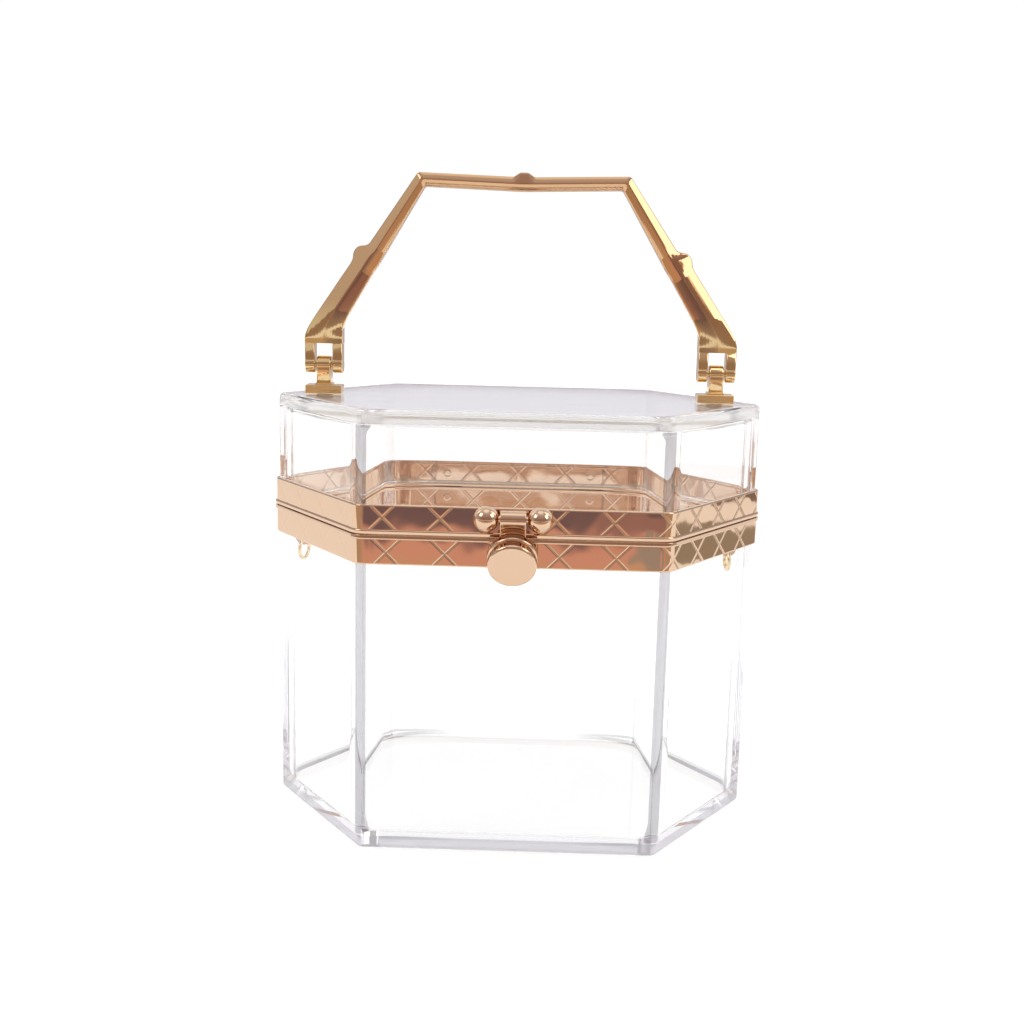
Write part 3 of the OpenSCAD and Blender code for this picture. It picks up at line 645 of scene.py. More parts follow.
def band_sheet(meeting_z, direction, height, marks, seed):
    """Patterned strip as a closed tube of sheet, BAND_T thick.

    Its section (d, e) runs from the bead down the outer face, round the folded edge that touches
    the wall, and back up the inner face. Every point is strip place + normal * (d + sheet height).
    On the two faces the normal tips against the slope of the sheet: N - dh/ds S - dh/de E.
    """
    hem = [
        [BAND_OUT, 1.0], [BAND_OUT, height], [0.03, height], [0.03, height - 0.85],
        [BAND_GAP, height - 0.95], [BAND_GAP, 1.0],
    ]
    section, facing = resampled(*rounded(hem, [0.05, 0.5, 0.15, 0.1, 0.1, 0.05], 3))
    d, e = section[:, :1], section[:, 1:]
    fade = np.clip((height - e) / BAND_T, 0, 1)
    mark_e, step = (BEAD_H + height) / 2, 0.02
    rise = sheet_height(strip_s, e, marks, mark_e, seed)
    slope_s = (sheet_height(strip_s + step, e, marks, mark_e, seed) - rise) / step
    slope_e = (sheet_height(strip_s, e + step, marks, mark_e, seed) - rise) / step
    out = d + rise * fade - BAND_OUT
    way = np.stack([-strip_n[:, 1], strip_n[:, 0]], 1)
    a, b = facing[:, :1], facing[:, 1:]
    points = raised(strip_at + strip_n * out[..., None], e)
    tipped = strip_n * a[..., None] - way * (a * slope_s * fade)[..., None]
    normals = raised(tipped, b - a * slope_e * fade)
    return stood(shell(points, normals, tube=True), meeting_z, direction)


UPPER_H, LOWER_H = 8.9, 9.2
upper_sheet = band_sheet(UPPER_Z, 1, UPPER_H, upper_marks, 0.4)
lower_sheet = band_sheet(LOWER_Z, -1, LOWER_H, lower_marks, 1.9)
make("upper_band", [upper_sheet], rose_gold, "lid", "upper_frame")
make("lower_band", [lower_sheet], rose_gold, "base", "lower_frame")

# %% [markdown]
# ### The meeting edge
#
# Where lid and base meet, each frame has a rounded bead outside and a flat flange over the edge of
# the plastic. The bead could be rolled into the sheet. Here it is a bar of its own with a well
# rounded section, because its two bright lines and the dark seam between them are what the eye
# follows round the box. It stops at each hinge, to leave room for the knuckles.

# %% Bead and flange
HINGE_X, HINGE_W = 26.6, 11.0


def bead():
    """Bar along the strip, carried on the section (d, e). In a notch d is held back to 1.2 mm.

    A station is in a notch when it lies on the back within half a hinge's width of its middle.
    """
    corners = [[0.7, 0.0], [1.6, 0.0], [1.85, BEAD_H], [1.1, BEAD_H], [0.7, 1.0]]
    section, facing = rounded(corners, [0.02, 0.25, 0.5, 0.05, 0.05], 5)
    d, e = section.T
    x, y = strip_at.T
    off = np.abs(np.abs(x) - HINGE_X) - (HINGE_W / 2 + 0.2)
    room = np.where(y > HALF_D, np.clip(off / 0.25, 0, 1), 1.0)
    d = np.minimum(d[:, None], 1.2 + 0.65 * room[None])
    points = raised(strip_at + strip_n * (d - BAND_OUT)[..., None], e[:, None])
    normals = raised(strip_n * facing[:, :1, None], facing[:, 1:])
    return shell(points, normals, tube=True)


def flange():
    """Flat ring over the wall's edge, from d = -3.8 to 0.9, with rounded inner edges."""
    reach, lip, top = 3.8, 0.9, FLANGE_T
    inside = profile([[-0.5, top], [-reach, top], [-reach, 0.0], [-0.5, 0.0]], [0, 0.3, 0.3, 0], 4)
    outside = profile([[0.0, 0.0], [lip, 0.0], [lip, top], [0.0, top]], [0, 0.1, 0.1, 0], 2)
    inner = carried(outline(PLAN, INNER_R + reach, 16), *inside)
    outer = carried(outline(PLAN, OUTER_R, 16), *outside)
    return shell(*(np.concatenate(pair) for pair in zip(inner, outer)), tube=True)


corner_web = [[76.3, 0.0], [71.5, 6.7], [71.5, -6.7]]
webs = [slab(corner_web, 0.1, base_top, LOWER_Z, 0.05)]
webs.append(mirrored(webs[0]))
upper_edge = [stood(bead(), UPPER_Z, 1), stood(flange(), UPPER_Z, 1)]
lower_edge = [stood(bead(), LOWER_Z, -1), stood(flange(), LOWER_Z, -1), *webs]
make("upper_edge", upper_edge, rose_gold, "lid", "upper_frame")
make("lower_edge", lower_edge, rose_gold, "base", "lower_frame")

# %% [markdown]
# ## Hinges
#
# Two small butt hinges hold the frames together at the back. A leaf is stamped from sheet and one
# end of it is rolled round the pin, so a knuckle is a tube. Rivets with low round heads go through
# leaf and band. Inside the box their tails show as small dimples on the band.

# %% Hinge tools
BACK_Y = HALF_D + BAND_OUT
LEAF_T, LEAF_H, LEAF_CLEAR = 0.8, 7.6, 1.6
HINGE_Y, KNUCKLE_R, HINGE_PIN_R = 50.15, 1.4, 0.7
KNUCKLE_L = (HINGE_W - 0.4) / 3
RIVET_RISE = (LEAF_H + LEAF_CLEAR) / 2
BACKWARDS = dict(x=(-1, 0, 0), y=(0, 0, 1), z=(0, 1, 0))


def tube(inner_r, outer_r, length, edge, steps=48):
    """Turned sleeve with rounded ends, its middle at 0."""
    half = length / 2
    corners = [[inner_r, -half], [outer_r, -half], [outer_r, half], [inner_r, half]]
    return shell(*carried(circle(steps), *rounded(corners, edge, 3)), tube=True)


def box_outline(x0, x1, y0, y1):
    """Corners of a rectangle, counter-clockwise."""
    return [[x1, y0], [x1, y1], [x0, y1], [x0, y0]]


def hinge_leaf(side, up, thirds):
    """Leaf plate, its knuckles, and the straps that join them. thirds counts from the middle."""
    at = np.array(thirds) * (KNUCKLE_L + 0.2)
    half = KNUCKLE_L / 2
    leaf = box_outline(-HINGE_W / 2, HINGE_W / 2, LEAF_CLEAR, LEAF_H)
    straps = [box_outline(x - half, x + half, 0.2, LEAF_CLEAR + 1.2) for x in at]
    flat = [
        slab(leaf, 0.9, 0, LEAF_T, 0.18),
        *[slab(strap, 0.05, 0.06, LEAF_T - 0.01, 0.04) for strap in straps],
    ]
    laid = BACKWARDS if up > 0 else dict(x=(1, 0, 0), y=(0, 0, -1), z=(0, 1, 0))
    plates = [placed(skin, (side * HINGE_X, BACK_Y, SPLIT_Z), **laid) for skin in flat]
    sleeve = tube(HINGE_PIN_R + 0.04, KNUCKLE_R, KNUCKLE_L, 0.14)
    return plates + [placed(sleeve, (side * HINGE_X + x, HINGE_Y, SPLIT_Z), **ALONG_X) for x in at]


def rivets(up):
    """Two rivets along +Y. The profile runs from the tail's dimple up the shank to the head."""
    corners = [
        [0, -0.30], [1.0, -0.30], [1.6, -0.01], [1.2, 0.05], [1.2, 1.6],
        [1.9, 1.6], [1.86, 1.8], [1.05, 2.3], [0, 2.3],
    ]
    skin = turned(corners, [0, 0.6, 0.03, 0.02, 0.02, 0.04, 0.12, 0.9, 0])
    height = SPLIT_Z + up * RIVET_RISE
    return [placed(skin, (side * HINGE_X, BACK_Y - BAND_T, height), **ALONG_Y) for side in (-1, 1)]


# %% Make the hinges
SIDES = ((-1, "left"), (1, "right"))
for side, name in SIDES:
    base_leaf, lid_leaf = hinge_leaf(side, -1, (-1, 1)), hinge_leaf(side, 1, (0,))
    pin_at = (side * HINGE_X, HINGE_Y, SPLIT_Z)
    pin = placed(rod(HINGE_W, HINGE_PIN_R - 0.01, 0.2), pin_at, **ALONG_X)
    make(f"base_leaf_{name}", base_leaf, rose_gold, "base", f"lower_hinge_leaf_{name}")
    make(f"lid_leaf_{name}", lid_leaf, rose_gold, "lid", f"upper_hinge_leaf_{name}")
    make(f"hinge_pin_turned_{name}", [pin], rose_gold, "base", f"hinge_pin_{name}")
make("base_rivets", rivets(-1), rose_gold, "base", "lower_rivets")
make("lid_rivets", rivets(1), rose_gold, "lid", "upper_rivets")

# %% [markdown]
# ## The ball clasp
#
# Two balls on short stems hold a pin in front of the lid's frame. A hasp hangs from the pin: one
# end of its strip is rolled into a barrel, and a turned knob is riveted to the other. Closed, the
# hasp leans in until a magnet in the base holds it. Everything round here is turned on a lathe,
# so a profile spun about its axis is not just a way to draw it but the way it is made.

# %% Balls and pin
CLASP_Y, CLASP_Z, BALL_X, BALL_R = -54.1, 108.3, 8.0, 3.8


def ball_on_stem():
    """Ball and stem along -Y: the profile is (R sin t, R cos t), then a fillet and the stem."""
    neck_r = 2.35
    t = np.linspace(0.02, math.pi - math.asin(neck_r / BALL_R), 40)
    ball_n = np.stack([np.sin(t), np.cos(t)], 1)
    corners = [[2.9, -2.4], [2.2, -3.4], [2.2, -5.2], [2.6, -5.62]]
    stem, stem_n = rounded(corners, [0, 0.5, 0.3, 0], 4, closed=False)
    path = np.concatenate([BALL_R * ball_n, stem[1:]])
    facing = np.concatenate([ball_n, -stem_n[1:]])
    points, normals, faces = shell(*carried(circle(96), path, facing))
    return points, normals, [f[:, ::-1] for f in faces]


FORWARDS = dict(x=(1, 0, 0), y=(0, 0, 1), z=(0, -1, 0))
for side, name in SIDES:
    ball = placed(ball_on_stem(), (side * BALL_X, CLASP_Y, CLASP_Z), **FORWARDS)
    make(f"ball_{name}", [ball], rose_gold, "lid", f"clasp_ball_{name}")
clasp_rod = placed(rod(14.3, 1.0, 0.15), (0, CLASP_Y, CLASP_Z), **ALONG_X)
make("ball_rod", [clasp_rod], rose_gold, "lid", "clasp_pin")

# %% Hasp
lean = math.radians(23.0)
KNOB_WAY = np.array([0, -math.cos(lean), -math.sin(lean)])
HASP_WAY = np.array([0, math.sin(lean), -math.cos(lean)])
ON_HASP = dict(x=(-1, 0, 0), y=HASP_WAY, z=KNOB_WAY)
BARREL_R, BARREL_L, HASP_T, HASP_L, KNOB_DROP = 2.6, 7.7, 1.3, 13.6, 10.7


def hasp():
    """Rolled barrel and the strip that leaves it. The strip's end is a half circle."""
    half = BARREL_L / 2
    round_end = half - 0.01
    barrel = placed(tube(1.06, BARREL_R, BARREL_L, 0.3, 64), (0, 0, 0), **ALONG_X)
    strip = slab(
        box_outline(-half, half, 0, HASP_L), [0.2, round_end, round_end, 0.2],
        BARREL_R - HASP_T, BARREL_R, 0.25, 12,
    )
    return [placed(skin, (0, CLASP_Y, CLASP_Z), **ON_HASP) for skin in (barrel, strip)]


make("hasp_strip", hasp(), rose_gold, "hasp", "hasp_leaf")

# %% Knob
knob_corners = [
    [0, 1.3], [1.5, 1.3], [1.5, 2.6], [7.6, 2.6], [7.6, 5.5],
    [6.3, 5.5], [6.3, 6.3], [7.35, 6.3], [7.35, 9.2], [0, 9.2],
]
knob = turned(knob_corners, [0, 0.05, 0.05, 0.9, 0.9, 0.12, 0.12, 0.5, 1.0, 0], 128)
knob_at = np.array([0, CLASP_Y, CLASP_Z]) + KNOB_DROP * HASP_WAY
make("turned_knob", [placed(knob, knob_at, **ON_HASP)], rose_gold, "hasp", "clasp_knob")

# %% Magnet
magnet = turned([[0, 0], [2.5, 0], [2.5, 1.3], [0, 1.3]], [0, 0.25, 0.1, 0])
magnet_at = (0, -HALF_D - BAND_OUT - 0.5, CLASP_Z - KNOB_DROP * math.cos(lean))
make("magnet", [placed(magnet, magnet_at, **ALONG_Y)], nickel, "base", "catch_magnet")

# %% [markdown]
# ## The cast handle
#
# The handle is one casting: two legs that lean in, a top bar, and a fork at each foot. Its section
# is a hexagon with slightly swollen faces, so a crease runs along the middle of each side, and a
# raised knot sits on each leg and on the bar. Again it is a section carried along a path. Each
# station of the arch gives an outer point, a crease point and an inner point in the arch's plane,
# with the half depth at each. At each bend the stations follow a short curve, as a fettled and
# polished casting does.

# %% Stations along the arch
PIN_Z, FORK_TOP, KNEE_Z, BAR_Z, SAG = 148.6, 156.2, 157.9, 210.9, 0.9
JOINT_X, FORK_HALF, LEG_FLAT, BAR_W = 64.6, 6.3, 1.6, 4.5
fork_out, fork_in, bar_top = JOINT_X + FORK_HALF, JOINT_X - FORK_HALF, BAR_Z - SAG
knee_out, bar_out = np.array([69.5, 161.6]), np.array([34.1, BAR_Z])
leg_way = unit(bar_out - knee_out)
leg_in = np.array([-leg_way[1], leg_way[0]])
knot_mid = knee_out + 0.48 * (bar_out - knee_out)


def station(outer, inner, flat, crease=2.9, lift=0.0, way=(0, 0), share=0.5):
    """Outer x z, crease x z, inner x z, half depth at the edges and at the crease.

    The crease lies at that share of the way from the outer to the inner point. A lift moves the
    outer point alone, by that much along way. That is how a knot grows out of the outer half of a
    leg while the inner half runs on.
    """
    outer, inner = np.asarray(outer, float), np.asarray(inner, float)
    lifted = outer + lift * np.asarray(way, float)
    return np.concatenate([lifted, outer + share * (inner - outer), inner, [flat, crease]])


def leg_station(along, step, width, lift, share):
    """Station on the leg, along from the knot's middle, its outer edge moved in by step."""
    outer = knot_mid + along * leg_way + step * leg_in
    inner = outer + width * leg_in
    return station(outer, inner, LEG_FLAT, lift=lift, way=-leg_in, share=share)


half_arch = np.array([
    station([fork_out, FORK_TOP - 0.6], [fork_in, FORK_TOP - 0.6], 2.5, 2.86),
    station([fork_out, KNEE_Z], [fork_in, KNEE_Z], 2.62),
    station(knee_out, [fork_in, 161.8], 2.25),
    leg_station(-3.6, -0.64, 7.8, 0.0, 0.55),
    leg_station(-1.4, -0.66, 7.8, 1.4, 0.55),
    leg_station(1.1, 0.40, 6.6, 2.3, 0.49),
    leg_station(3.3, 0.62, 6.15, 0.0, 0.49),
    station(bar_out, [31.79, BAR_Z - BAR_W], LEG_FLAT),
    station([3.3, bar_top + 0.05], [3.3, bar_top + 0.05 - BAR_W], LEG_FLAT),
    station([1.2, bar_top], [1.2, bar_top - BAR_W], LEG_FLAT, lift=1.45, way=(0, 1)),
])
other_side = np.array([-1, 1, -1, 1, -1, 1, 1, 1])  # turns the sign of the three points' x
arch_stations = np.concatenate([half_arch, half_arch[::-1] * other_side])
print("stations:", len(arch_stations))


# %% Curve the bends and lay the section on
def curved(stations, reach, steps):
    """Stations with each bend replaced by a quadratic Bezier curve.

    The curve starts and ends at most reach mm from the bend, and never past the middle of a side.
    A row 0.04 mm from each end keeps the end's own face from bending the shading beside it.
    """
    middle = (stations[:, :2] + stations[:, 4:6]) / 2
    gap = np.linalg.norm(np.diff(middle, axis=0), axis=1)
    share = np.minimum(reach[1:-1, None] / np.stack([gap[:-1], gap[1:]], 1), 0.49)
    here, back, ahead = stations[1:-1], stations[:-2], stations[2:]
    a = here + share[:, :1] * (back - here)
    c = here + share[:, 1:] * (ahead - here)
    t = np.linspace(0, 1, steps)[:, None]
    bends = (1 - t) ** 2 * a[:, None] + 2 * t * (1 - t) * here[:, None] + t**2 * c[:, None]
    ends, beside = stations[[0, -1]], stations[[1, -2]]
    first, last = ends + 0.04 / gap[[0, -1], None] * (beside - ends)
    return np.vstack([ends[0], first, bends.reshape(-1, 8), last, ends[1]])


half_spread = np.array([0.07, 0.17, 0.3, 0.45, 0.62, 0.8, 1])
SPREAD, BULGE = np.concatenate([-half_spread[::-1], [0], half_spread]), 1.25


def section_of(row):
    """One section in space: q runs from the outer point to the inner point, y is the depth.

    Each face swells a little: depth = flat + (deep - flat) * (1 - |t| ** 1.25), where t is -1 at
    the outer edge, 0 at the crease and 1 at the inner edge. So a face is steep at its edge and
    nearly level beside the crease, as hand polishing leaves it.
    """
    outer, crease, inner, (flat, deep) = row[:2], row[2:4], row[4:6], row[6:]
    way = unit(inner - outer)
    middle, width = (crease - outer) @ way, (inner - outer) @ way
    q = middle + SPREAD * np.where(SPREAD < 0, middle, width - middle)
    y = flat + (deep - flat) * (1 - np.abs(SPREAD) ** BULGE)
    corners = np.concatenate([np.column_stack([q, y]), np.column_stack([q, -y])[::-1]])
    radii = np.full(len(SPREAD), 1.0)
    radii[[0, 7, -1]] = 0.55, 0.25, 0.45
    points, _ = rounded(corners, np.concatenate([radii, radii[::-1]]), 3)
    place = outer + points[:, :1] * way
    return np.column_stack([place[:, 0], points[:, 1], place[:, 1]])


def face_weighted(points, faces):
    """Normal of each vertex: the sum of its faces' normals, each weighted by its area.

    Half the cross product of a quad's diagonals is its area times its normal. Broad faces win
    over the narrow ones in a rounded edge, so they shade flat.
    """
    total = np.zeros_like(points)
    for group in faces:
        corner = points[group]
        if group.shape[1] == 4:
            area = np.cross(corner[:, 2] - corner[:, 0], corner[:, 3] - corner[:, 1]) / 2
        else:
            area = np.cross(corner, np.roll(corner, -1, 1)).sum(1) / 2
        np.add.at(total, group.ravel(), np.repeat(area, group.shape[1], 0))
    return unit(total)


def cast(grid):
    """Closed skin over rows of sections, with face-weighted normals."""
    points, _, faces = shell(grid, grid)
    return points, face_weighted(points, faces), faces


bend_reach = np.array([0.5, 1.9, 6.0, 1.3, 1.1, 1.1, 1.1, 0.9, 0.6, 0.4])
arch_rows = curved(arch_stations, np.concatenate([bend_reach, bend_reach[::-1]]), 9)
arch = cast(np.stack([section_of(row) for row in arch_rows]))
print("arch rows:", len(arch_rows))


# %% Prongs and posts
def keyhole(round_r, half_w, reach):
    """Outline of a tongue with a round end: a circle at 0 and a straight body up to reach.

    Moved out by d, the circle's radius and the body's half width grow by d. They meet where
    z = sqrt((r + d) ** 2 - (w + d) ** 2). The same number of points is used for every d.
    """

    def at(d):
        r, w = round_r + d, half_w + d
        start = math.asin(math.sqrt(max(r * r - w * w, 0)) / r)
        turn = np.linspace(math.pi - start, 2 * math.pi + start, 40)
        arc = np.stack([np.cos(turn), np.sin(turn)], 1)
        sides = [[w, reach + d], [-w, reach + d]]
        return np.concatenate([arc * r, sides]), np.concatenate([arc, [[1, 0], [-1, 0]]])

    return at


def tongue(round_r, half_w, reach, thick, edge):
    """The keyhole outline as a plate with rounded edges, its middle at 0."""
    half = thick / 2
    side = profile([[-2 * edge, -half], [0, -half], [0, half], [-2 * edge, half]], edge)
    return cast(carried(keyhole(round_r, half_w, reach), *side)[0])


PRONG_W = 3.3
prong = tongue(2.82, 2.55, FORK_TOP + 1.0 - PIN_Z, PRONG_W, 0.45)
prong_off = FORK_HALF - 0.1 - PRONG_W / 2
prongs = [placed(prong, (JOINT_X + way * prong_off, 0, PIN_Z), **ALONG_X) for way in (-1, 1)]
prongs += [mirrored(skin) for skin in prongs]
make("cast_handle", [arch, *prongs], pale_gold, "handle", "handle_bow")

# %% Mounts
PIN_RISE = PIN_Z - BOX_H
HEAD_UP = dict(x=(0, -1, 0), y=(0, 0, -1), z=(1, 0, 0))
mount_skins = [
    slab(box_outline(-6.0, 6.0, -3.5, 3.5), 0.35, 0, 3.0, 0.4),
    slab(box_outline(-2.85, 2.85, -3.0, 3.0), 0.4, 2.5, 3.6, 0.25),
    placed(tongue(2.9, 2.75, PIN_RISE - 2.8, 4.7, 0.5), (0, 0, PIN_RISE), **HEAD_UP),
]
for side, name in SIDES:
    mount = [placed(skin, (side * JOINT_X, 0, BOX_H)) for skin in mount_skins]
    pin = placed(rod(12.0, 0.97, 0.2), (side * JOINT_X, 0, PIN_Z), **ALONG_X)
    make(f"mount_{name}", mount, pale_gold, "lid", f"handle_mount_{name}")
    make(f"fork_pin_{name}", [pin], pale_gold, "handle", f"handle_pin_{name}")

# %% [markdown]
# ## Small fittings
#
# A ring for a ribbon hangs in a bent lug under each side corner of the base's frame, and a
# pan-head screw holds each handle mount from inside the lid. The rings are turned tori, and the
# lugs and screws keep their exact CAD shapes.

# %% Rings, lugs and screws
RING_X, RING_R, WIRE_R, RING_TOP = 70.0, 3.35, 0.65, 89.7
wire, wire_n = circle(24)(WIRE_R)
ring = shell(*carried(circle(64), wire + [RING_R, 0], wire_n), tube=True)
for (side, name), turn in zip(SIDES, np.radians([-17.0, 4.0])):
    c, s = math.cos(turn), math.sin(turn)
    ring_at = (side * RING_X, 0, RING_TOP - RING_R)
    hung = placed(ring, ring_at, x=(-s, c, 0), y=(0, 0, 1), z=(c, s, 0))
    make(f"ring_{name}_wire", [hung], pale_gold, f"ring_{name}", f"strap_ring_{name}")

for node, finish in (("ring_lug", rose_gold), ("mount_screw", nickel)):
    for _, name in SIDES:
        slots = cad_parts[f"{node}_{name}"].data.materials
        slots.clear()
        slots.append(finish)
print("kept CAD shapes: ring lugs and mount screws")

# %% [markdown]
# ## The studio
#
# Polished metal shows the room, so the room is part of its finish. The box stands on a white
# floor under a pale sky. Two soft boxes stand high on the left and right in front, and give each
# ball its two bright windows. Cards that only reflections can see give the metal its parts: those
# on the floor give the frames their rosy and dark parts, and those beside the handle give its
# legs one bright side and one tan side.


# %% Floor and sky
def glow(name, code, strength):
    """Plain light-giving finish for a card, a floor or a soft box."""
    finish, tree, out = new_finish(name)
    light = add(tree, "Emission", {"Color": colour(code), "Strength": strength})
    tree.links.new(light.outputs["Emission"], out.inputs["Surface"])
    return finish


def stage_mesh(name, points, faces, finish):
    """Stage object from points in millimetres."""
    mesh = bpy.data.meshes.new(name)
    mesh.from_pydata((np.asarray(points, float) * MM).tolist(), [], faces)
    mesh.materials.append(finish)
    thing = put(name, mesh)
    return thing


def floor_paint():
    """White paint that gives off a little light, 0.30 near the box and 0.33 from 2 m outwards."""
    white, tree, out = new_finish("white_floor")
    place = add(tree, "TexCoord").outputs["Object"]
    far = add(tree, "VectorMath", {"operation": "LENGTH", 0: place}).outputs["Value"]
    lift = add(tree, "MapRange", {
        "Value": far, "From Min": 0.3, "From Max": 2.0, "To Min": 0.30, "To Max": 0.33,
    })
    paint = add(tree, "BsdfPrincipled", {
        "Base Color": colour("F3F4F5"), "Roughness": 0.6,
        "Emission Color": colour("FFFFFF"), "Emission Strength": lift.outputs[0],
    })
    tree.links.new(paint.outputs["BSDF"], out.inputs["Surface"])
    return white


rim, _ = circle(96)(20000.0)
stage_mesh("floor", np.column_stack([rim, np.full(96, -0.06)]), [list(range(96))], floor_paint())


def studio_sky():
    """Sky by direction (x, y, z). Seen directly, it is white all round. Light that falls on the
    floor or comes through the plastic finds it a little dimmer in front. A mirror finds white
    behind the box within 23.5 degrees, pale grey at the sides, bright overhead, and a dim warm
    room in front that gets paler with height."""
    world = bpy.data.worlds.new("studio_sky")
    bpy.context.scene.world = world
    world.use_nodes = True
    sky = world.node_tree
    way = add(sky, "TexCoord").outputs["Generated"]
    level = add(sky, "VectorMath", {"operation": "MULTIPLY", 0: way, 1: (1, 1, 0)}).outputs[0]
    level = add(sky, "VectorMath", {"operation": "NORMALIZE", 0: level}).outputs[0]
    ahead = add(sky, "SeparateXYZ", {0: level}).outputs["Y"]
    height = add(sky, "SeparateXYZ", {0: way}).outputs["Z"]
    ray = add(sky, "LightPath").outputs
    front = (ahead, -0.25, -0.75)
    white = colour("FFFFFF", 1.04)
    room = layered(sky, colour("BDBBC0"), [
        (mask(sky, [front]), colour("A38A7E")),
        (mask(sky, [front, (height, 0.3, 0.65)]), colour("BEACAE")),
        (mask(sky, [(height, 0.72, 0.90)]), colour("DAD6DA")),
        (mask(sky, [(height, 0.93, 0.96)]), colour("FFFDFA", 1.3)),
        (mask(sky, [(ahead, 0.915, 0.918)]), white),
    ])
    not_seen = mask(sky, [front, (ray["Is Camera Ray"], 1, 0)])
    in_mirror = add(sky, "Math", {
        "operation": "SUBTRACT", "use_clamp": True,
        0: ray["Is Glossy Ray"], 1: ray["Is Transmission Ray"],
    }).outputs[0]
    shade = layered(sky, white, [(not_seen, colour("BFBDB2")), (in_mirror, room)])
    sky.links.new(shade, sky.nodes["Background"].inputs["Color"])


studio_sky()
print("sky:", bpy.context.scene.world.name)


# %% Cards for reflections
def card(name, corners, code, strength, through=False):
    """Card that only reflections see, or only light that came through the plastic if through."""
    face = [list(range(len(corners)))]
    thing = stage_mesh(name, corners, face, glow(name + "_glow", code, strength))
    thing.visible_camera = thing.visible_diffuse = thing.visible_shadow = False
    thing.visible_transmission, thing.visible_glossy = through, not through
    return thing


def front_card(corners):
    """Floor card in front. Its colour runs with the distance from tan over rosy to dark, and turns
    to plain tan at the sides."""
    thing = card("front_card", corners, "FFFFFF", 1.25)
    tree = thing.data.materials[0].node_tree
    x, y, _ = add(tree, "SeparateXYZ", {0: add(tree, "TexCoord").outputs["Object"]}).outputs
    away = add(tree, "MapRange", {"Value": y, "From Min": -0.27, "From Max": -1.27}).outputs[0]
    ramp = add(tree, "ValToRGB", {0: away})
    stops = (
        (0.14, "CFB093"), (0.18, "D7A79A"), (0.25, "D7A79A"),
        (0.29, "77666F"), (0.45, "77666F"), (1.0, "93807C"),
    )
    while len(ramp.color_ramp.elements) < len(stops):
        ramp.color_ramp.elements.new(1.0)
    for element, (place, code) in zip(ramp.color_ramp.elements, stops):
        element.position, element.color = place, colour(code)
    across = add(tree, "Math", {"operation": "ABSOLUTE", 0: x}).outputs[0]
    edge = add(tree, "MapRange", {"Value": across, "From Min": 0.15, "From Max": 0.32}).outputs[0]
    shade = layered(tree, ramp.outputs[0], [(edge, colour("B7A08A"))])
    tree.links.new(shade, tree.nodes["Emission"].inputs["Color"])


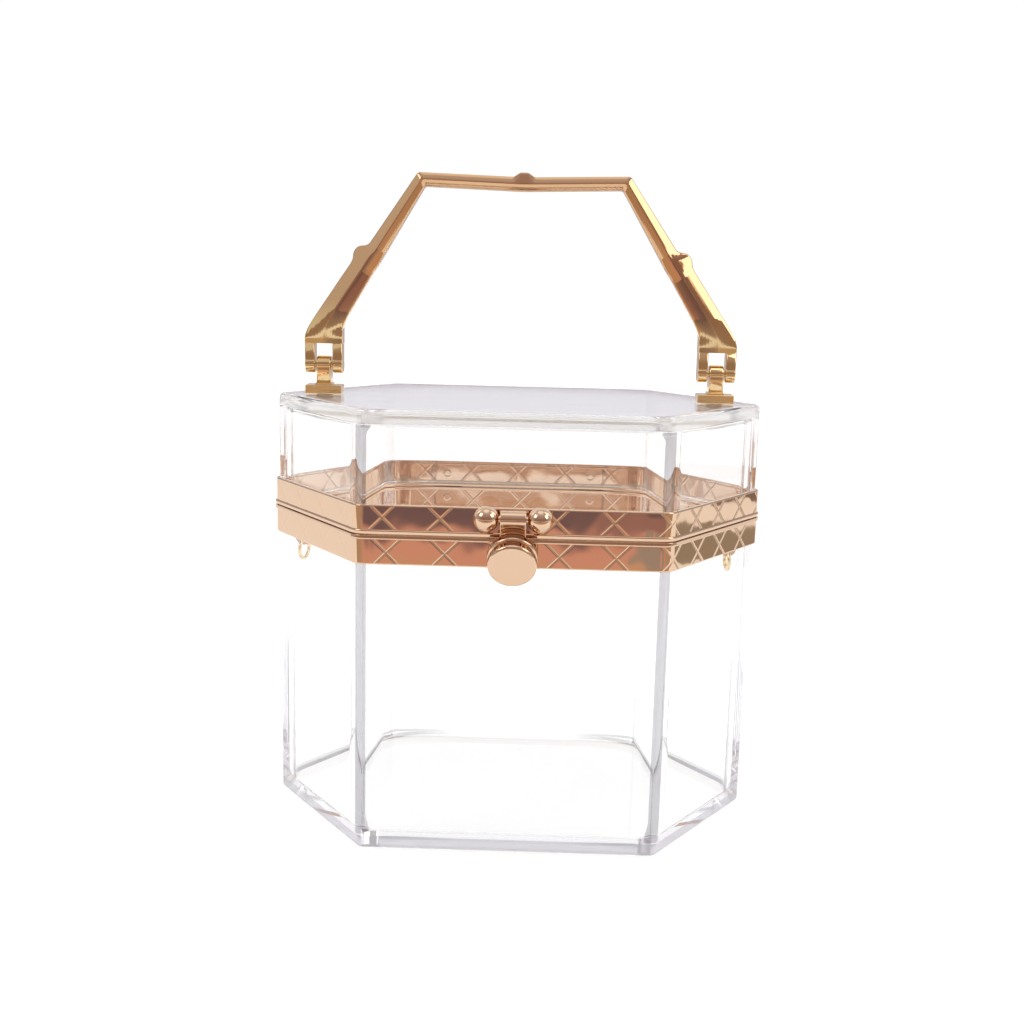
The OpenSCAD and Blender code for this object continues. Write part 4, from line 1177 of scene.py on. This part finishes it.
front_card([[-1500, -270, 1], [1500, -270, 1], [1500, -2400, 1], [-1500, -2400, 1]])
through_corners = [[-1500, -270, 1.5], [1500, -270, 1.5], [1500, -530, 1.5], [-1500, -530, 1.5]]
card("front_through_card", through_corners, "D0AE94", 1.14, through=True)
for name, code, strength, corners in (
    # a brown and a grey patch on the floor in front
    ("front_brown_card", "A1807F", 1.2,
     [[45, -545, 1.8], [190, -545, 1.8], [190, -680, 1.8], [75, -680, 1.8]]),
    ("front_grey_card", "A8A29F", 1.2,
     [[66, -425, 1.8], [200, -425, 1.8], [200, -530, 1.8], [78, -530, 1.8]]),
    # two grey stripes on the floor for the slanted side on the right
    ("right_near_card", "ACA395", 1.0,
     [[336, 299, 1], [482, 37, 1], [600, 103, 1], [454, 365, 1]]),
    ("right_far_card", "95837A", 1.0,
     [[559, 423, 1], [704, 161, 1], [879, 258, 1], [733, 520, 1]]),
    # a pale flag beside the left leg, and two bright windows beside the right one
    ("left_leg_flag", "E2E0DA", 1.0,
     [[-94, -58, 165], [-122, -12, 189], [-78, -12, 251], [-50, -58, 227]]),
    ("right_knee_window", "FFFDF4", 2.8,
     [[100, -55, 172], [115, -38, 183], [91, -38, 216], [76, -55, 205]]),
    ("right_leg_window", "FFFDF4", 2.8,
     [[112, -43, 179], [122, -22, 186], [78, -22, 248], [68, -43, 241]]),
    # lavender grey behind the box
    ("lid_back_card", "C8C3CE", 1.0,
     [[-900, 1500, 20], [900, 1500, 20], [900, 1500, 420], [-900, 1500, 420]]),
):
    card(name, corners, code, strength)
print("cards:", sum(key.endswith("_glow") for key in bpy.data.materials.keys()))


# %% Soft boxes
def looking(x, y, z, place):
    """Matrix of a lamp or camera from its three axes and its place in millimetres."""
    columns = np.column_stack([x, y, z, np.asarray(place, float) * MM])
    return Matrix([*columns.tolist(), [0, 0, 0, 1]])


def soft_box(name, place, aim, size, power):
    """Square area light that faces a point."""
    lamp = bpy.data.lights.new(name, "AREA")
    lamp.shape, lamp.size, lamp.energy = "SQUARE", size * MM, power
    thing = put(name, lamp)
    away = unit(np.asarray(place, float) - np.asarray(aim, float))
    side = unit(np.cross([0, 0, 1], away))
    thing.matrix_world = looking(side, np.cross(away, side), away, place)
    return thing


for name, place in (("left", (-820, -500, 900)), ("right", (930, -400, 780))):
    soft_box(f"soft_box_{name}", place, aim=(0, 0, 100), size=560, power=2.4)

# %% Camera
CAMERA_AT, LENS, SENSOR = (5.95, -416.5, 178.4), 44.146, 36.0
pitch, yaw, roll = np.radians([10.59, -1.01, 1.38])
flat = math.cos(pitch)
ahead = np.array([math.sin(yaw) * flat, math.cos(yaw) * flat, -math.sin(pitch)])
level = np.array([math.cos(yaw), -math.sin(yaw), 0.0])
above = np.cross(level, ahead)
right_way = math.cos(roll) * level + math.sin(roll) * above
up_way = -math.sin(roll) * level + math.cos(roll) * above
lens = bpy.data.cameras.new("camera")
lens.lens, lens.sensor_width, lens.sensor_fit = LENS, SENSOR, "HORIZONTAL"
lens.clip_start, lens.clip_end = 0.01, 20.0
camera = put("camera", lens)
camera.matrix_world = looking(right_way, up_way, -ahead, CAMERA_AT)
bpy.context.scene.camera = camera
bpy.context.scene.view_settings.view_transform = "Standard"
cycles = bpy.context.scene.cycles
cycles.max_bounces, cycles.transmission_bounces, cycles.glossy_bounces = 64, 64, 64
print("camera:", camera.matrix_world.to_translation()[:])
